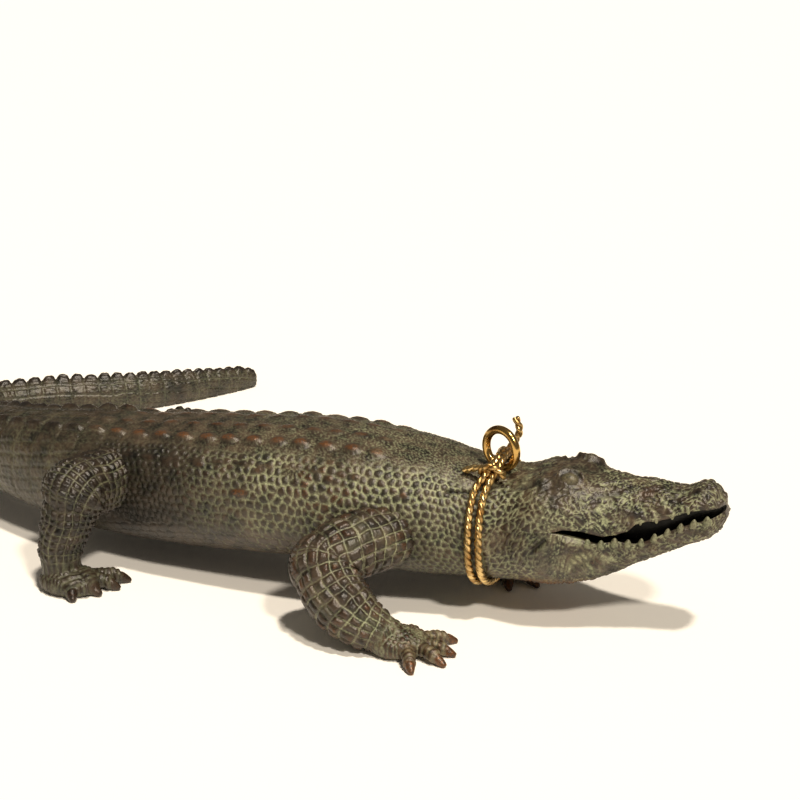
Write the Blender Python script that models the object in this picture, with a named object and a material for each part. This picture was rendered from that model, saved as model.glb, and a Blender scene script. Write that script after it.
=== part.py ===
"""Cast bronze alligator with a rope collar and a lead ring, as closed solids.

The animal walks along +X with its soles on Z = 0, its left side is +Y and its tail sweeps round to the left.
The animal is laid out on a drawing grid, and the rope and the ring have sizes of their own.
"""

import math

import bmesh
import bpy
from mathutils import Matrix, Vector

# Sizes in metres
TRUNK = 0.130  # from the fore feet to the hind feet
GRID = TRUNK / 130  # one square of the drawing grid that carries the whole animal
ROPE_DIAMETER = 0.0028  # twisted wire rope
ROPE_TURNS = 2  # turns side by side round the neck
ROPE_PITCH = 0.0037  # from one turn to the next along the neck
ROPE_CLEARANCE = 0.0005  # between the rope and what it lies on
RING_WIRE = 0.0030
RING_BORE = 0.0106  # clear width inside the ring
END_LENGTH = 0.0105  # rope end that points back over the neck
TUFT_LENGTH = 0.013  # rope end that stands up behind the ring

# Carving, in grid squares
COLLAR_X = 17.5  # where the first turn lies, measured along X
RING_PLACE = (22.9, -5.5)  # where the ring stands on the nape
RING_TURN = -22  # degrees from facing the animal's right side
RISE = 36  # degrees round the neck over which the rope rises to the ring
KNOT_PLACES = (-31, -24)  # degrees round the neck from its ridge, below zero on the animal's right
TUFT_PLACE = 12
COLLAR_STEPS = 36  # points round one turn of rope
BACK_KEEL = 2.0  # height of a keel on the back
CREST_HEIGHT = 4.2  # height of a scute in the tail's crest
BACK_ROW = 9.5  # length of one row of scutes on the back
TAIL_TIP_ROW = 5.4  # length of the last row on the tail
ROUNDING = 0.84  # power of the sine and cosine in the body's section, fuller than an ellipse below 1
HIPS = 165.0  # distance of the hips along the body, where the trunk's columns give way to the tail's
TRUNK_COLUMNS = (0, 9, 18, 27, 37, 47, 72, 105, 145)  # degrees down from the ridge of the back
TAIL_COLUMNS = (0, 27, 48, 90, 140)
LIP_TO_LIP = tuple(math.radians(18 * i) for i in range(1, 10))  # over the top of a jaw's section
ROOF = (0.6, 0.2, -0.2, -0.6)  # across the flat side of a jaw, as shares of its half width
BALL_SIDES = (10, 6)  # round and up
LEG_SIDES = 8
TOE_SIDES = 6
TOOTH_SIDES = 4
LOWER_TEETH = (10, 58.0, 4.3)  # how many a side, where the first stands, and their pitch
UPPER_TEETH = (4, 74.5, 5.2)
BROWS = ((1, 50.5, 51.8), (-1, 48.7, 53.4))  # side, x, height
NOSTRIL = (94.2, 3.2, 53.2)
SHARP = math.radians(40)  # an edge turned more than this is a crease

# Body stations from the nape to the tail's tip: x, y, height of the axis, half width, rise above, drop below
SPINE = (
    (42, 0, 33, 16, 16, 15),
    (31, 0, 32.5, 20.5, 20, 19),
    (20, 0, 32, 21.5, 20.6, 18.8),
    (8, 0, 32, 24, 22.6, 19.4),
    (-10, 0, 32.5, 28, 25.2, 20),
    (-35, 0, 33.5, 30.5, 25.9, 20),
    (-65, 0, 33.5, 31, 24.4, 22),
    (-95, 0, 32, 29.5, 23, 23),
    (-120, 0, 30.5, 26, 22, 22),
    (-145, 1, 29, 21.5, 21.5, 20),
    (-170, 6, 27.5, 17.5, 19, 16),
    (-195, 17, 25, 14.5, 16.5, 14),
    (-220, 33, 19.5, 12.5, 14, 13.5),
    (-244, 54, 14.5, 10.8, 11.5, 12.5),
    (-258, 80, 11, 9.3, 9.5, 10.8),
    (-252, 104, 9, 8, 8, 9.2),
    (-233, 121, 8.8, 7.2, 8, 9),
    (-209, 139, 8.4, 6.2, 7.4, 8.6),
    (-189, 162, 7.2, 5, 6, 7.4),
    (-173, 186, 5.4, 3.6, 4.2, 5.6),
    (-168, 194, 4.2, 1.8, 2.2, 3.2),
)

# Upper jaw and skull: x, half width, top, lip
SKULL = (
    (27, 19, 51.5, 36),
    (31, 21.6, 53, 36),
    (38, 22.9, 54.6, 37),
    (43, 22.8, 55.3, 38),
    (46, 22, 55.6, 38.6),
    (50, 20.5, 55.6, 39.9),
    (56, 18, 55, 39.4),
    (60, 16.2, 54.4, 38.1),
    (63, 15, 54, 37.4),
    (67, 13.7, 53.8, 38.3),
    (70.5, 12.5, 53.8, 39.6),
    (73, 11.8, 53.8, 42),
    (76, 11.1, 53.8, 43.3),
    (80.5, 10.2, 53.6, 43.8),
    (85, 9.5, 53.4, 45.6),
    (88, 9.1, 53.4, 47.1),
    (91, 8.8, 54.4, 48.4),
    (94.5, 8.6, 55.4, 49.2),
    (98, 7.7, 54.4, 49.5),
    (100, 5.6, 52.4, 49.7),
    (101, 3, 50.8, 49.9),
)

# Lower jaw: x, half width, lip, underside
JAW = (
    (27, 18.5, 38, 14),
    (33, 21, 39, 13.5),
    (42, 22.2, 40, 14),
    (46, 21.9, 39.6, 14.4),
    (50, 20.4, 38.6, 15.2),
    (56, 18.2, 37.2, 16.8),
    (60, 16.5, 35.4, 18.4),
    (63, 15.3, 36, 20),
    (67, 14, 36.8, 22),
    (71, 12.7, 36.4, 24),
    (75, 11.6, 37, 26.2),
    (80, 10.5, 39.4, 28.6),
    (86, 9.7, 42.6, 31.4),
    (91, 9.1, 45, 33.6),
    (95, 8.8, 46.4, 35.4),
    (98.2, 8, 47.4, 37.4),
    (100.4, 6, 48.4, 40.2),
    (101.4, 3.4, 48.7, 43.6),
)

# Each leg's upper part, from inside the body to the elbow or knee, and its lower part: x, y, height, radius
LEGS = {
    "fore_right": (
        ((-7, -8, 30, 9), (-13, -25, 30.5, 10.8), (-20, -37, 30, 10.8), (-26.5, -45, 27, 10.4)),
        ((-27, -46, 25, 10.4), (-20, -51.5, 17.5, 10.4), (-11, -54, 11.5, 8.8), (-3, -53, 7.5, 6.6),
         (2, -52, 5.4, 5))),
    "fore_left": (
        ((-7, 8, 30, 9), (-10, 25, 30, 10.8), (-13, 36, 26, 10.2)),
        ((-13, 38, 23, 10.2), (-4, 36, 15, 9.2), (3, 32, 10, 7.8), (8, 28.5, 7, 6.4), (11, 26, 5.2, 5))),
    "hind_right": (
        ((-122, -8, 32, 10), (-124, -26, 36, 11), (-125.5, -41, 38, 10.4)),
        ((-126, -42, 37, 10.6), (-128.5, -45, 26, 8.8), (-131, -46, 17, 7.4), (-131, -46, 7, 7))),
    "hind_left": (
        ((-122, 8, 29, 10), (-125, 26, 31, 11), (-127.5, 41, 30.5, 10.4)),
        ((-128, 42, 29.5, 10.6), (-133, 45, 22, 8.8), (-137, 46, 14, 7.4), (-138, 46, 7, 7))),
}

# Feet: heel, ball of the foot, half width, thickness of a toe, and each toe's root and end
FEET = {
    "fore_right": ((-1, -53), (7, -51), 8.5, 2.4, (
        (-1, -44, 9, -38.5), (8, -47, 19, -37.5), (10, -50.5, 22.5, -48.5), (10, -53, 22, -57.5),
        (7, -55, 13.5, -67))),
    "fore_left": ((8, 29), (14, 24), 8.2, 2.4, (
        (12, 21, 12, 11.5), (16, 20.5, 22, 9.5), (18.5, 22, 31, 16.5), (18.5, 25, 34, 26),
        (16, 27, 27, 36))),
    "hind_right": ((-132, -47), (-122, -47.5), 9, 2.7, (
        (-121, -41, -110, -33), (-122, -44.5, -110, -41), (-124, -47, -113.5, -49),
        (-126, -50, -120, -57.5))),
    "hind_left": ((-139, 47), (-129, 47.5), 9, 2.7, (
        (-128, 41, -117, 33), (-129, 44.5, -116, 41), (-131, 47, -119, 50), (-133, 50, -126, 59))),
}
TOE_HEIGHT = 2.0  # of a claw's root over the floor
CLAW_SHARE = 0.26  # of a toe's length
MOUTH_DEPTH = 2.4  # how far the roof and the floor of the mouth lie behind the lips
SOLE_CUT = 0.5  # how far the feet are filed flat

BRONZE = ("patinated bronze", (0.045, 0.045, 0.030), 0.5, 0.85)
BRASS = ("polished brass", (0.62, 0.40, 0.12), 0.25, 1.0)


def on_grid(*values):
    """A point given in grid squares, in metres."""
    return Vector(values) * GRID


def clear_scene():
    for obj in list(bpy.data.objects):
        bpy.data.objects.remove(obj)


def new_collection(name, shown):
    collection = bpy.data.collections.new(name)
    collection.hide_render = not shown
    bpy.context.scene.collection.children.link(collection)
    return collection


def material(name, colour, roughness, metallic):
    made = bpy.data.materials.new(name)
    made.use_nodes = True
    shader = made.node_tree.nodes["Principled BSDF"]
    shader.inputs["Base Color"].default_value = (*colour, 1)
    shader.inputs["Roughness"].default_value = roughness
    shader.inputs["Metallic"].default_value = metallic
    return made


def object_from(mesh_edit, name, collection):
    """Turns an edit mesh into an object, with its faces pointing out."""
    bmesh.ops.recalc_face_normals(mesh_edit, faces=mesh_edit.faces)
    mesh = bpy.data.meshes.new(name)
    mesh_edit.to_mesh(mesh)
    mesh_edit.free()
    shade_round(mesh)
    obj = bpy.data.objects.new(name, mesh)
    collection.objects.link(obj)
    if collection.hide_render:
        obj.hide_render = True
        obj.display_type = "WIRE"
    return obj


def shade_round(mesh):
    mesh.shade_smooth()
    mesh.set_sharp_from_angle(angle=SHARP)


def smooth_between(stations, place):
    """The station at a fractional index, on a Catmull-Rom curve through all of them."""
    last = len(stations) - 1
    index = min(int(place), last - 1)
    t = place - index
    before, start, end, after = (stations[min(max(index + i, 0), last)] for i in (-1, 0, 1, 2))
    return [
        0.5 * (2 * b + (c - a) * t + (2 * a - 5 * b + 4 * c - d) * t**2 + (3 * b - a - 3 * c + d) * t**3)
        for a, b, c, d in zip(before, start, end, after)
    ]


def walk(stations, size, fineness=24):
    """Samples the stations' curve as (distance along it, station). A station starts with its place."""
    steps = (len(stations) - 1) * fineness
    samples = [smooth_between(stations, i / fineness) for i in range(steps + 1)]
    distance = 0.0
    walked = [(0.0, samples[0])]
    for a, b in zip(samples, samples[1:]):
        distance += math.dist(a[:size], b[:size])
        walked.append((distance, b))
    return walked


def station_at(walked, distance):
    """The station at a distance along a walked curve."""
    for (d0, a), (d1, b) in zip(walked, walked[1:]):
        if distance <= d1:
            t = (distance - d0) / (d1 - d0)
            return [x + (y - x) * t for x, y in zip(a, b)]
    return walked[-1][1]


def ring_edges(edit, row):
    """The edges round a ring of corners, made where they are missing."""
    pairs = zip(row, row[1:] + row[:1])
    return [edit.edges.get(pair) or edit.edges.new(pair) for pair in pairs]


def loft(rings, name, collection):
    """A closed skin over rings of points, with both ends fanned shut."""
    edit = bmesh.new()
    rows = [[edit.verts.new(p) for p in ring] for ring in rings]
    for low, high in zip(rows, rows[1:]):
        if len(low) != len(high):
            bmesh.ops.bridge_loops(edit, edges=ring_edges(edit, low) + ring_edges(edit, high))
            continue
        for i, corner in enumerate(low):
            after = (i + 1) % len(low)
            edit.faces.new((corner, low[after], high[after], high[i]))
    for row in (rows[0], rows[-1]):
        tip = edit.verts.new(sum((v.co for v in row), Vector()) / len(row))
        for i, corner in enumerate(row):
            edit.faces.new((corner, row[(i + 1) % len(row)], tip))
    return object_from(edit, name, collection)


def rounded(value, power):
    """Sine or cosine of a section, squared up by a power below 1."""
    return math.copysign(abs(value) ** power, value)


def ease(low, high, value):
    """0 below low, 1 above high, and smooth in between."""
    t = min(max((value - low) / (high - low), 0), 1)
    return t * t * (3 - 2 * t)


# Body and tail


def spine_frame(walked, distance):
    """The station, its centre, and the direction to the animal's left."""
    step = 1.0
    station = station_at(walked, distance)
    ahead = station_at(walked, max(distance - step, 0))
    behind = station_at(walked, distance + step)
    forward = Vector((ahead[0] - behind[0], ahead[1] - behind[1], 0)).normalized()
    return station, Vector(station[:3]), Vector((-forward.y, forward.x, 0))


def body_point(walked, distance, degrees, side, raised=0.0):
    """A point on the body's skin, an angle down from the ridge, raised by a scute's height."""
    (*_, half, rise, drop), centre, left = spine_frame(walked, distance)
    angle = math.radians(degrees)
    across = side * half * rounded(math.sin(angle), ROUNDING)
    up = (rise if degrees < 90 else drop) * rounded(math.cos(angle), ROUNDING)
    offset = left * across + Vector((0, 0, up))
    return (centre + offset + offset.normalized() * raised) * GRID


def keel_height(degrees, x, along_tail):
    """Height of the scute under a column: keels on the back, then two crests and one on the tail."""
    back = BACK_KEEL * ease(-8, -28, x) * (1 - ease(0.0, 0.10, along_tail))
    paired = CREST_HEIGHT * ease(-0.05, 0.12, along_tail) * (1 - ease(0.40, 0.50, along_tail))
    single = CREST_HEIGHT * ease(0.40, 0.50, along_tail) * (1 - 0.45 * ease(0.6, 1.0, along_tail))
    heights = {9: 0.8 * back, 27: max(back, paired), 47: 1.1 * back + 0.25 * paired, 0: single}
    return heights.get(degrees, 0.0)


def scute_rows(length):
    """Where each row of scutes starts and how long it is, from the nape to the tip of the tail."""
    distance = 0.0
    rows = []
    while distance < length - TAIL_TIP_ROW:
        row = BACK_ROW + (TAIL_TIP_ROW - BACK_ROW) * ease(HIPS, length, distance)
        rows.append((distance, row))
        distance += row
    return rows


def make_body(collection):
    """Two rings for each row of scutes, one in the groove before it and one over its crest."""
    walked = walk(SPINE, 2)
    length = walked[-1][0]
    rings = []
    for start, row in scute_rows(length):
        for distance, raised in ((start, 0.0), (start + 0.6 * row, 1.0)):
            x = station_at(walked, distance)[0]
            along_tail = (distance - HIPS) / (length - HIPS)
            half = TRUNK_COLUMNS if start < HIPS else TAIL_COLUMNS
            columns = [(d, 1) for d in half] + [(d, -1) for d in reversed(half[1:])]
            rings.append([
                body_point(walked, distance, d, side, raised * keel_height(d, x, along_tail))
                for d, side in columns
            ])
    rings.append([body_point(walked, length, d, side) for d, side in columns])
    return loft(rings, "trunk and tail", collection)


# Head


def jaw_rings(stations):
    """Sections of a jaw: a hollowed side at the lips, and an arch to the top or the underside."""
    rings = []
    for station in stations:
        x, half, edge, lip = station
        arch = [on_grid(x, half * rounded(math.cos(a), 0.8), lip + (edge - lip) * math.sin(a) ** 0.85)
                for a in LIP_TO_LIP]
        at_end = station in (stations[0], stations[-1])
        sunk = 0 if at_end else math.copysign(min(MOUTH_DEPTH, 0.25 * abs(edge - lip)), edge - lip)
        flat = [on_grid(x, -half * share, lip + sunk) for share in ROOF]
        rings.append([on_grid(x, half, lip), *arch, on_grid(x, -half, lip), *flat])
    return rings


def ball(centre, sizes, name, collection, turn=0.0):
    """An ellipsoid, with its long way turned about Z."""
    edit = bmesh.new()
    matrix = Matrix.Translation(on_grid(*centre)) @ Matrix.Rotation(turn, 4, "Z")
    matrix = matrix @ Matrix.Diagonal((*on_grid(*sizes), 1))
    around, up = BALL_SIDES
    bmesh.ops.create_uvsphere(edit, u_segments=around, v_segments=up, radius=1, matrix=matrix)
    return object_from(edit, name, collection)


def spike(foot, tip, radius, sides, name, collection):
    """A cone from a foot to a tip, both in grid squares: a claw or a tooth."""
    foot, tip = on_grid(*foot), on_grid(*tip)
    way = tip - foot
    edit = bmesh.new()
    turn = way.to_track_quat("Z", "Y").to_matrix().to_4x4()
    matrix = Matrix.Translation((foot + tip) / 2) @ turn
    wide = radius * GRID
    bmesh.ops.create_cone(edit, cap_ends=True, segments=sides, radius1=wide, radius2=wide * 0.15,
                          depth=way.length, matrix=matrix)
    return object_from(edit, name, collection)


def station_by_x(stations, x):
    """A jaw's station at a place along the head."""
    for a, b in zip(stations, stations[1:]):
        if a[0] <= x <= b[0]:
            t = (x - a[0]) / (b[0] - a[0])
            return [p + (q - p) * t for p, q in zip(a, b)]
    raise ValueError("no station there")


def make_head(collection):
    loft(jaw_rings(SKULL), "skull", collection)
    loft(jaw_rings([(x, half, under, lip) for x, half, lip, under in JAW]), "lower jaw", collection)
    for side, brow_x, brow_z in BROWS:
        ball((brow_x, 10 * side, brow_z), (6, 4.2, 4.2), "brow", collection, math.radians(-14 * side))
        x, y, z = NOSTRIL
        ball((x, y * side, z), (4.2, 3.4, 3), "nostril", collection)
        count, first, pitch = LOWER_TEETH
        for x in (first + pitch * i for i in range(count)):
            _, half, lip, _ = station_by_x(JAW, x)
            foot = (x, side * (half - 1.5), lip - 1.2)
            spike(foot, (x, side * (half - 0.6), lip + 1.3), 1.2, TOOTH_SIDES, "lower tooth", collection)
        count, first, pitch = UPPER_TEETH
        for x in (first + pitch * i for i in range(count)):
            _, half, _, lip = station_by_x(SKULL, x)
            foot = (x, side * (half - 1.4), lip + 1.2)
            spike(foot, (x, side * (half - 0.8), lip - 1.4), 1.1, TOOTH_SIDES, "upper tooth", collection)


# Legs and feet


def tube_rings(stations, sides):
    """Rings square to a path of (x, y, z, radius) stations, carried along without twist."""
    points = [Vector(s[:3]) for s in stations]
    side = Vector((0, 0, 1))
    rings = []
    for i, (station, point) in enumerate(zip(stations, points)):
        way = (points[min(i + 1, len(points) - 1)] - points[max(i - 1, 0)]).normalized()
        side = (side - way * side.dot(way)).normalized()
        other = way.cross(side)
        rings.append([
            (point + (side * math.cos(a) + other * math.sin(a)) * station[3]) * GRID
            for a in (2 * math.pi * k / sides for k in range(sides))
        ])
    return rings


def refined(stations, parts):
    """More stations on the same smooth path."""
    return [smooth_between(stations, i / parts) for i in range((len(stations) - 1) * parts + 1)]


def make_toe(root, end, radius, collection):
    """A toe with a knuckle, from its root in the foot to its blunt claw."""
    root, end = Vector((*root, radius * 1.8)), Vector((*end, TOE_HEIGHT))
    knuckle = root.lerp(end, 0.52) + Vector((0, 0, radius * 0.35))
    nail = root.lerp(end, 1 - CLAW_SHARE)
    stations = (
        (*root, radius), (*knuckle, radius * 0.92), (*nail, radius * 0.72),
        (*(end - Vector((0, 0, 1.0))), radius * 0.22),
    )
    loft(tube_rings(stations, TOE_SIDES), "toe", collection)


def make_leg(which, collection):
    heel, ball_of_foot, half, thickness, toes = FEET[which]
    upper, lower = LEGS[which]
    loft(tube_rings(upper, LEG_SIDES), "upper leg", collection)
    loft(tube_rings(refined(lower, 2), LEG_SIDES), "lower leg", collection)
    *joint, radius = lower[0]
    ball(joint, (radius * 1.1,) * 3, "elbow or knee", collection)
    heel, front = Vector(heel), Vector(ball_of_foot)
    middle = (heel + front) / 2
    reach = (front - heel).length / 2 + half * 0.75
    turn = math.atan2(front.y - heel.y, front.x - heel.x)
    ball((*middle, 4.2), (reach, half, 5.2), "palm", collection, turn)
    for *root, x, y in toes:
        make_toe(root, (x, y), thickness, collection)


# Collar and ring


def neck_offset(walked, x, degrees, side, lift):
    """A point round the neck at x, lifted off the widest skin within a rope's width."""
    distances = [SPINE[0][0] - x + shift * ROPE_DIAMETER / 2 / GRID for shift in (-1, 0, 1)]
    candidates = [body_point(walked, d, degrees, side) for d in distances]
    middle = candidates[1]
    centre = on_grid(x, 0, station_at(walked, distances[1])[2])
    reach = max((Vector((centre.x, p.y, p.z)) - centre).length for p in candidates)
    way = Vector((0, middle.y - centre.y, middle.z - centre.z)).normalized()
    return Vector((centre.x, centre.y, centre.z)) + way * (reach + lift)


def rope_tube(points, name, collection, closed=False):
    """A plain round rope along points in metres, as a mesh."""
    curve = bpy.data.curves.new(name, "CURVE")
    curve.dimensions = "3D"
    curve.bevel_depth = ROPE_DIAMETER / 2
    curve.bevel_resolution = 2
    curve.use_fill_caps = True
    spline = curve.splines.new("POLY")
    spline.points.add(len(points) - 1)
    for target, point in zip(spline.points, points):
        target.co = (*point, 1)
    spline.use_cyclic_u = closed
    guide = bpy.data.objects.new(name, curve)
    collection.objects.link(guide)
    graph = bpy.context.evaluated_depsgraph_get()
    mesh = bpy.data.meshes.new_from_object(guide.evaluated_get(graph))
    bpy.data.objects.remove(guide)
    edit = bmesh.new()
    edit.from_mesh(mesh)
    bmesh.ops.remove_doubles(edit, verts=edit.verts, dist=1e-6)
    return object_from(edit, name, collection)


def smooth_path(stations, parts):
    """Points in metres on a smooth curve through points in metres."""
    count = (len(stations) - 1) * parts
    return [Vector(smooth_between([tuple(s) for s in stations], i / parts)) for i in range(count + 1)]


def nape_height(walked, x, y):
    """Height in metres of the body's skin over a point of the nape, both in grid squares."""
    _, _, z, half, rise, _ = station_at(walked, SPINE[0][0] - x)
    return (z + rise * (1 - abs(y / half) ** (2 / ROUNDING)) ** (ROUNDING / 2)) * GRID


def ring_axes():
    """The way the ring faces and the way across it, both level."""
    turn = math.radians(RING_TURN)
    facing = Vector((math.sin(turn), -math.cos(turn), 0))
    return facing, Vector((-facing.y, facing.x, 0))


def ring_centre(walked):
    x, y = RING_PLACE
    stands_on = nape_height(walked, x, y) + ROPE_CLEARANCE
    return Vector((x * GRID, y * GRID, stands_on + RING_WIRE + RING_BORE / 2))


def ring_degrees(walked):
    """How far round the neck from its ridge the ring stands, below zero on the animal's right."""
    x, y = RING_PLACE
    half = station_at(walked, SPINE[0][0] - x)[3]
    return math.copysign(math.degrees(math.asin(abs(y / half) ** (1 / ROUNDING))), y)


def collar_point(walked, turn, degrees):
    """A point on one turn of the collar. Every turn rises off the nape to pass through the ring."""
    pull = 1 - ease(8, RISE, abs(degrees - ring_degrees(walked)))
    room = RING_BORE / 2 - ROPE_CLEARANCE - ROPE_DIAMETER / 2
    beside = (turn - (ROPE_TURNS - 1) / 2) * min(ROPE_DIAMETER, 1.3 * room / ROPE_TURNS)
    through = RING_WIRE + RING_BORE / 2 - math.sqrt(room**2 - beside**2)
    low, high = ROPE_DIAMETER / 2 + ROPE_CLEARANCE, ROPE_CLEARANCE + through
    start = COLLAR_X + turn * ROPE_PITCH / GRID
    x = start + pull * (RING_PLACE[0] + beside / GRID - start)
    return neck_offset(walked, x, abs(degrees), math.copysign(1, degrees), low + pull * (high - low))


def knot_frame(walked, degrees):
    """The middle of the turns at an angle round the neck, and the way out from the neck there."""
    points = [collar_point(walked, turn, degrees) for turn in range(ROPE_TURNS)]
    middle = sum(points, Vector()) / ROPE_TURNS
    axis = Vector((middle.x, 0, station_at(walked, SPINE[0][0] - middle.x / GRID)[2] * GRID))
    return middle, (middle - axis).normalized()


def make_collar(walked, pieces):
    """Turns of rope round the neck and through the ring, tied on the near side, with two loose ends."""
    for turn in range(ROPE_TURNS):
        points = [collar_point(walked, turn, 360 * i / COLLAR_STEPS - 180) for i in range(COLLAR_STEPS)]
        rope_tube(points, "turn", pieces, closed=True)
    rope = ROPE_DIAMETER
    half = rope * ROPE_TURNS / 2
    for place in KNOT_PLACES:
        middle, out = knot_frame(walked, place)
        arc = [(0.5 * half, 0.95 * rope), (half + 0.45 * rope, 0.25 * rope),
               (half + 0.75 * rope, -0.7 * rope)]
        arc = [(-x, z) for x, z in reversed(arc)] + arc
        rope_tube(smooth_path([middle + Vector((x, 0, 0)) + out * z for x, z in arc], 2), "tie", pieces)
    middle, out = knot_frame(walked, KNOT_PLACES[0])
    root = middle + out * 0.5 * rope
    tip = middle + Vector((-END_LENGTH, 0.12 * END_LENGTH, 0))
    tip.z = nape_height(walked, tip.x / GRID, tip.y / GRID) + rope / 2 + ROPE_CLEARANCE
    bend = root.lerp(tip, 0.55) + Vector((0, 0, 0.3 * rope))
    rope_tube(smooth_path((root, bend, tip), 4), "back end", pieces)
    behind, _ = knot_frame(walked, TUFT_PLACE)
    along = Vector((TUFT_LENGTH, 0, 0))
    rise = Vector((0, 0, TUFT_LENGTH))
    stem = (behind, behind + along * 0.22 + rise * 0.3, behind + along * 0.36 + rise * 0.65,
            behind + along * 0.24 + rise)
    rope_tube(smooth_path(stem, 3), "tuft", pieces)


def fuse(name, pieces, collection, finish, cutter=None):
    """Joins all the pieces of one thing into a single closed solid."""
    parts = list(pieces.objects)
    first = parts[0]
    solid = bpy.data.objects.new(name, first.data.copy())
    collection.objects.link(solid)
    pieces.objects.unlink(first)
    bpy.data.objects.remove(first)
    join = solid.modifiers.new("all in one", "BOOLEAN")
    join.operation = "UNION"
    join.operand_type = "COLLECTION"
    join.collection = pieces
    if cutter:
        file_flat = solid.modifiers.new("filed soles", "BOOLEAN")
        file_flat.operation = "DIFFERENCE"
        file_flat.object = cutter
    solid.data.materials.append(finish)
    return solid


def make_ring(walked, collection, finish):
    major, minor = (RING_BORE + RING_WIRE) / 2, RING_WIRE / 2
    bpy.ops.mesh.primitive_torus_add(
        major_segments=24, minor_segments=8, major_radius=major, minor_radius=minor)
    ring = bpy.context.object
    ring.name = "lead_ring"
    shade_round(ring.data)
    for holder in list(ring.users_collection):
        holder.objects.unlink(ring)
    collection.objects.link(ring)
    facing, _ = ring_axes()
    ring.rotation_euler = facing.to_track_quat("Z", "Y").to_euler()
    ring.location = ring_centre(walked)
    ring.data.materials.append(finish)
    return ring


def stand_on_origin(shown):
    """Hangs every object on one empty, moved so that the origin is the bottom centre of the figurine."""
    graph = bpy.context.evaluated_depsgraph_get()
    corners = [obj.matrix_world @ Vector(corner)
               for obj in shown.objects for corner in obj.evaluated_get(graph).bound_box]
    low = [min(c[i] for c in corners) for i in range(3)]
    high = [max(c[i] for c in corners) for i in range(3)]
    figure = list(bpy.data.objects)
    stand = bpy.data.objects.new("stand", None)
    bpy.context.scene.collection.objects.link(stand)
    for obj in figure:
        obj.parent = stand
    stand.location = (-(low[0] + high[0]) / 2, -(low[1] + high[1]) / 2, -low[2])


def main():
    clear_scene()
    shown = new_collection("alligator figurine", True)
    casting = new_collection("casting pieces", False)
    rope = new_collection("rope pieces", False)
    cutters = new_collection("cutters", False)
    bronze, brass = material(*BRONZE), material(*BRASS)
    make_body(casting)
    make_head(casting)
    for which in LEGS:
        make_leg(which, casting)
    edit = bmesh.new()
    bmesh.ops.create_cube(edit, size=1, matrix=Matrix.Diagonal((600 * GRID, 600 * GRID, 20 * GRID, 1)))
    floor = object_from(edit, "floor", cutters)
    floor.location.z = (SOLE_CUT - 10) * GRID
    fuse("alligator", casting, shown, bronze, floor)
    walked = walk(SPINE, 2)
    make_collar(walked, rope)
    fuse("rope_collar", rope, shown, brass)
    make_ring(walked, shown, brass)
    bpy.context.view_layer.update()
    stand_on_origin(shown)


main()
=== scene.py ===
import math

import bpy
import numpy as np
from mathutils import Matrix, Vector


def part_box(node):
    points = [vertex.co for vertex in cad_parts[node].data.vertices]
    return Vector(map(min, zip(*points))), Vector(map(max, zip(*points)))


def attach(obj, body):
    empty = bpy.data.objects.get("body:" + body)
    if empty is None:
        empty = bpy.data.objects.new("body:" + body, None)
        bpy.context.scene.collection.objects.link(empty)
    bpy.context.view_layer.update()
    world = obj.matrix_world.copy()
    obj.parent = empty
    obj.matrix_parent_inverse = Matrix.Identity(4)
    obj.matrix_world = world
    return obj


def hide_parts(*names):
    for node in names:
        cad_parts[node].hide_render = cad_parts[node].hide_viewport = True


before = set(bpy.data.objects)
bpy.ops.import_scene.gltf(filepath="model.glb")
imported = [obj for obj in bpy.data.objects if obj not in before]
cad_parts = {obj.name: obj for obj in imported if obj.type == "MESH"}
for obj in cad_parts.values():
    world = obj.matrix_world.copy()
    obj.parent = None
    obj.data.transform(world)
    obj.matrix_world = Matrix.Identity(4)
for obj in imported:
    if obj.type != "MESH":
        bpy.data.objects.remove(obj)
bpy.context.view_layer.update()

# The animal is laid out in millimetres from a point between its fore feet, with x towards its snout and y
# to its left. sheet moves it to the CAD frame
ringLow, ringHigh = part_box("lead_ring")
ringOnSheet = Vector((22.9, -5.5, 60.97))
sheet = np.array((Vector(ringLow) + Vector(ringHigh)) * 500 - ringOnSheet)
print("frame loaded, sheet moved by", sheet.round(2), "mm")


# Numbers that repeat on every run

def scatter(*places):
    # one number from 0 to 1 for each whole-number place
    mixed = sum(np.asarray(p, float) * k for p, k in zip(places, (127.1, 311.7, 74.7, 219.3)))
    return np.modf(np.abs(np.sin(mixed) * 43758.5453))[0]


def step(low, high, value):
    t = np.clip((value - low) / (high - low), 0, 1)
    return t * t * (3 - 2 * t)


def waver(u, v, size, seed):
    # soft hills and hollows from -1 to 1, about size mm apart
    u, v = u / size + seed * 7.3, v / size - seed * 3.1
    iu, iv = np.floor(u), np.floor(v)
    fu, fv = step(0, 1, u - iu), step(0, 1, v - iv)
    near = scatter(iu, iv, seed) * (1 - fu) + scatter(iu + 1, iv, seed) * fu
    far = scatter(iu, iv + 1, seed) * (1 - fu) + scatter(iu + 1, iv + 1, seed) * fu
    return 2 * (near * (1 - fv) + far * fv) - 1


def stones(u, v, seed, loose=0.6):
    # a loose honeycomb: how far the nearest stone's border is (0 to about 0.5), and the stone's own number
    iu, iv = np.floor(u), np.floor(v)
    first = np.full(u.shape, 9.0)
    second = first.copy()
    number = np.zeros(u.shape)
    for du in (-1, 0, 1):
        for dv in (-1, 0, 1):
            cu, cv = iu + du, iv + dv
            slide = 0.25 * np.where(np.mod(cv, 2) == 0, 1, -1)
            pu = cu + 0.5 + slide + loose * (scatter(cu, cv, seed) - 0.5)
            pv = cv + 0.5 + loose * (scatter(cu, cv, seed + 5) - 0.5)
            away = np.hypot(u - pu, v - pv)
            nearer = away < first
            second = np.where(nearer, first, np.minimum(second, away))
            number = np.where(nearer, scatter(cu, cv, seed + 9), number)
            first = np.where(nearer, away, first)
    return (second - first) / 2, number


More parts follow.
